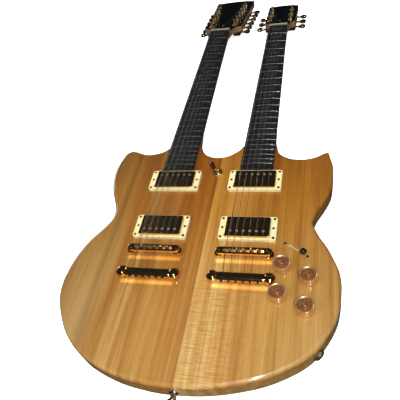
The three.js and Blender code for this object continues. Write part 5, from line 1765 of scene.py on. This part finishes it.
cut(cap, box_piece(
    "cutter", (-blade_width / 2, -blade_thick / 2, 0),
    (blade_width / 2, blade_thick / 2, lever_top + cap_gap)))
fit(move(cap, lever_frame), black_matt, 40, "blade", "black_matt")

# Rear covers: flat black sheet let into ledges in the back and screwed down, over the control cavity and
# over the toggle switch.
control_screws = [(-0.97, 0.72), (-0.3, 1.03), (0.72, 0.66), (1.02, -0.25), (0.5, -1.02), (-1.0, -0.5)]
switch_screw_count = 3
cover_screw_inset = 3.6 * mm
cover_edge = 0.4 * mm

reach_x, reach_y = (side + cover_ledge - cover_screw_inset for side in cavity_halves)
ledge_radius = toggle_cavity_radius + cover_ledge
screw_ring = ledge_radius - cover_screw_inset
switch_turns = [math.tau * i / switch_screw_count + math.pi / 2 for i in range(switch_screw_count)]
covers = {
    "control_cover": (
        cavity_outline(cover_ledge), cavity_place, [(a * reach_x, b * reach_y) for a, b in control_screws]),
    "switch_cover": (
        ellipse(ledge_radius, ledge_radius, round_sides, toggle_place), toggle_place,
        [(screw_ring * math.cos(a), screw_ring * math.sin(a)) for a in switch_turns]),
}
for name, (edge, (x, y), spots) in covers.items():
    piece = prism(f"{name}_sheet", edge, seat_gap, seat_gap + cover_thick)
    bevel(piece, flat_rim(seat_gap), cover_edge, 2)
    fit(piece, black_matt, 30, "root", "black_matt", name)
    screws = [
        copy_of(dark_screw, "screw_copy", Matrix.Translation((x + a, y + b, seat_gap)) @ down)
        for a, b in spots]
    seat(joined(f"{name}_screws", screws), "root", "grey_steel")
bpy.data.objects.remove(dark_screw)

# Strap buttons: turned and plated, one screwed into the rim at the tail and one under the heel of the
# twelve-string neck, each by one long screw through its middle.
strap_base = 6 * mm
strap_base_edge = 0.4 * mm
strap_base_step = 0.6 * mm
strap_base_height = 1.2 * mm
strap_neck = 4 * mm
strap_neck_from = 2.4 * mm
strap_neck_to = 7.4 * mm
strap_flare = 0.8 * mm
strap_flare_height = 8.6 * mm
strap_flange = 7.4 * mm
strap_flange_edge = 0.6 * mm
strap_flange_from = 9.6 * mm
strap_flange_at = 10.4 * mm
strap_height = 12.5 * mm
strap_edge = 1.2 * mm
strap_edge_inner = 0.5 * mm
strap_edge_drop = 0.4 * mm
strap_well = 3.4 * mm
strap_well_floor = 2.6 * mm
strap_well_depth = 0.8 * mm
strap_screw_radius = 2.5 * mm
strap_screw_height = 1 * mm
strap_frames = {
    "end": (Vector((2.8 * mm, -206.37 * mm, 17 * mm)), Vector((0.036, -0.99935, 0))),
    "heel": (Vector((-70.15 * mm, 251.8 * mm, 13.43 * mm)), Vector((0, -0.0082, -0.99997))),
}


def facing(spot, axis):
    """A frame at the spot whose Z points along the axis."""
    return Matrix.Translation(spot) @ Vector((0, 0, 1)).rotation_difference(axis).to_matrix().to_4x4()


for name, (spot, axis) in strap_frames.items():
    strap = turned("strap", [
        (strap_base - strap_base_edge, 0), (strap_base, strap_base_edge),
        (strap_base - strap_base_step, strap_base_height), (strap_neck, strap_neck_from),
        (strap_neck, strap_neck_to), (strap_neck + strap_flare, strap_flare_height),
        (strap_flange - strap_flange_edge, strap_flange_from), (strap_flange, strap_flange_at),
        (strap_flange, strap_height - strap_edge),
        (strap_flange - strap_edge_inner, strap_height - strap_edge_drop),
        (strap_flange - strap_edge, strap_height), (strap_well, strap_height),
        (strap_well_floor, strap_height - strap_well_depth),
    ], 40)
    smooth(strap, 35)
    head = domed_screw(strap_screw_radius, strap_screw_height, cross=True)
    smooth(head, 40)
    move(head, Matrix.Translation((0, 0, strap_height - strap_well_depth)))
    piece = joined(f"strap_button_turned_{name}", [strap, head])
    finish_as(piece, nickel)
    seat(move(piece, facing(spot, axis)), "root", "gold_plate", f"strap_button_{name}")

# Output jack: a threaded barrel through the lower rim, held by a flat washer and a hexagon nut outside.
# Its sleeve stands a little proud of the nut, and the plug goes in through its middle.
jack_place = Vector((179.39 * mm, -138.38 * mm, 17 * mm))
jack_axis = Vector((0.78732, -0.61654, 0))
jack_bore = 3.3 * mm
jack_barrel = 6 * mm
jack_depth = 22 * mm
jack_hole = 48 * mm
jack_washer = 9 * mm
washer_chamfer = 0.2 * mm
washer_round = 0.4 * mm
washer_top = 1.9 * mm
jack_nut = 6.4 * mm
jack_nut_edge = 0.3 * mm
jack_top = 4.1 * mm
sleeve_wall = 1.4 * mm
sleeve_end_wall = 1.1 * mm
sleeve_side_top = 0.3 * mm
sleeve_top = 0.6 * mm

washer = turned("washer", [
    (jack_washer - washer_chamfer, seat_gap), (jack_washer, seat_gap + washer_chamfer),
    (jack_washer, washer_top - washer_round), (jack_washer - washer_round, washer_top)], 48)
nut_corner_radius = jack_nut / math.cos(math.pi / 6)
hexagon = prism("nut", ellipse(nut_corner_radius, nut_corner_radius, 6), washer_top, jack_top)
bevel(hexagon, flat_rim(jack_top), jack_nut_edge, 2)
barrel = turned("barrel", [(jack_barrel, -jack_depth), (jack_barrel, seat_gap)], 40)
sleeve = turned("sleeve", [
    (jack_bore + sleeve_wall, washer_top), (jack_bore + sleeve_wall, jack_top + sleeve_side_top),
    (jack_bore + sleeve_end_wall, jack_top + sleeve_top)], 40)
for part in (washer, hexagon, barrel, sleeve):
    cut(part, turned("cutter", [(jack_bore, -2 * jack_depth), (jack_bore, jack_depth)], 32))
piece = joined("output_jack_plate", [washer, hexagon, barrel, sleeve])
finish_as(piece, satin_gold_painted_pale)
smooth(piece, 30)
jack_frame = facing(jack_place, jack_axis)
seat(move(piece, jack_frame), "root", "gold_plate", "output_jack")
hole = turned("cutter", [(jack_barrel + seat_gap, -jack_hole), (jack_barrel + seat_gap, overrun)], 40)
cut(body, move(hole, jack_frame))
smooth(body, 35)
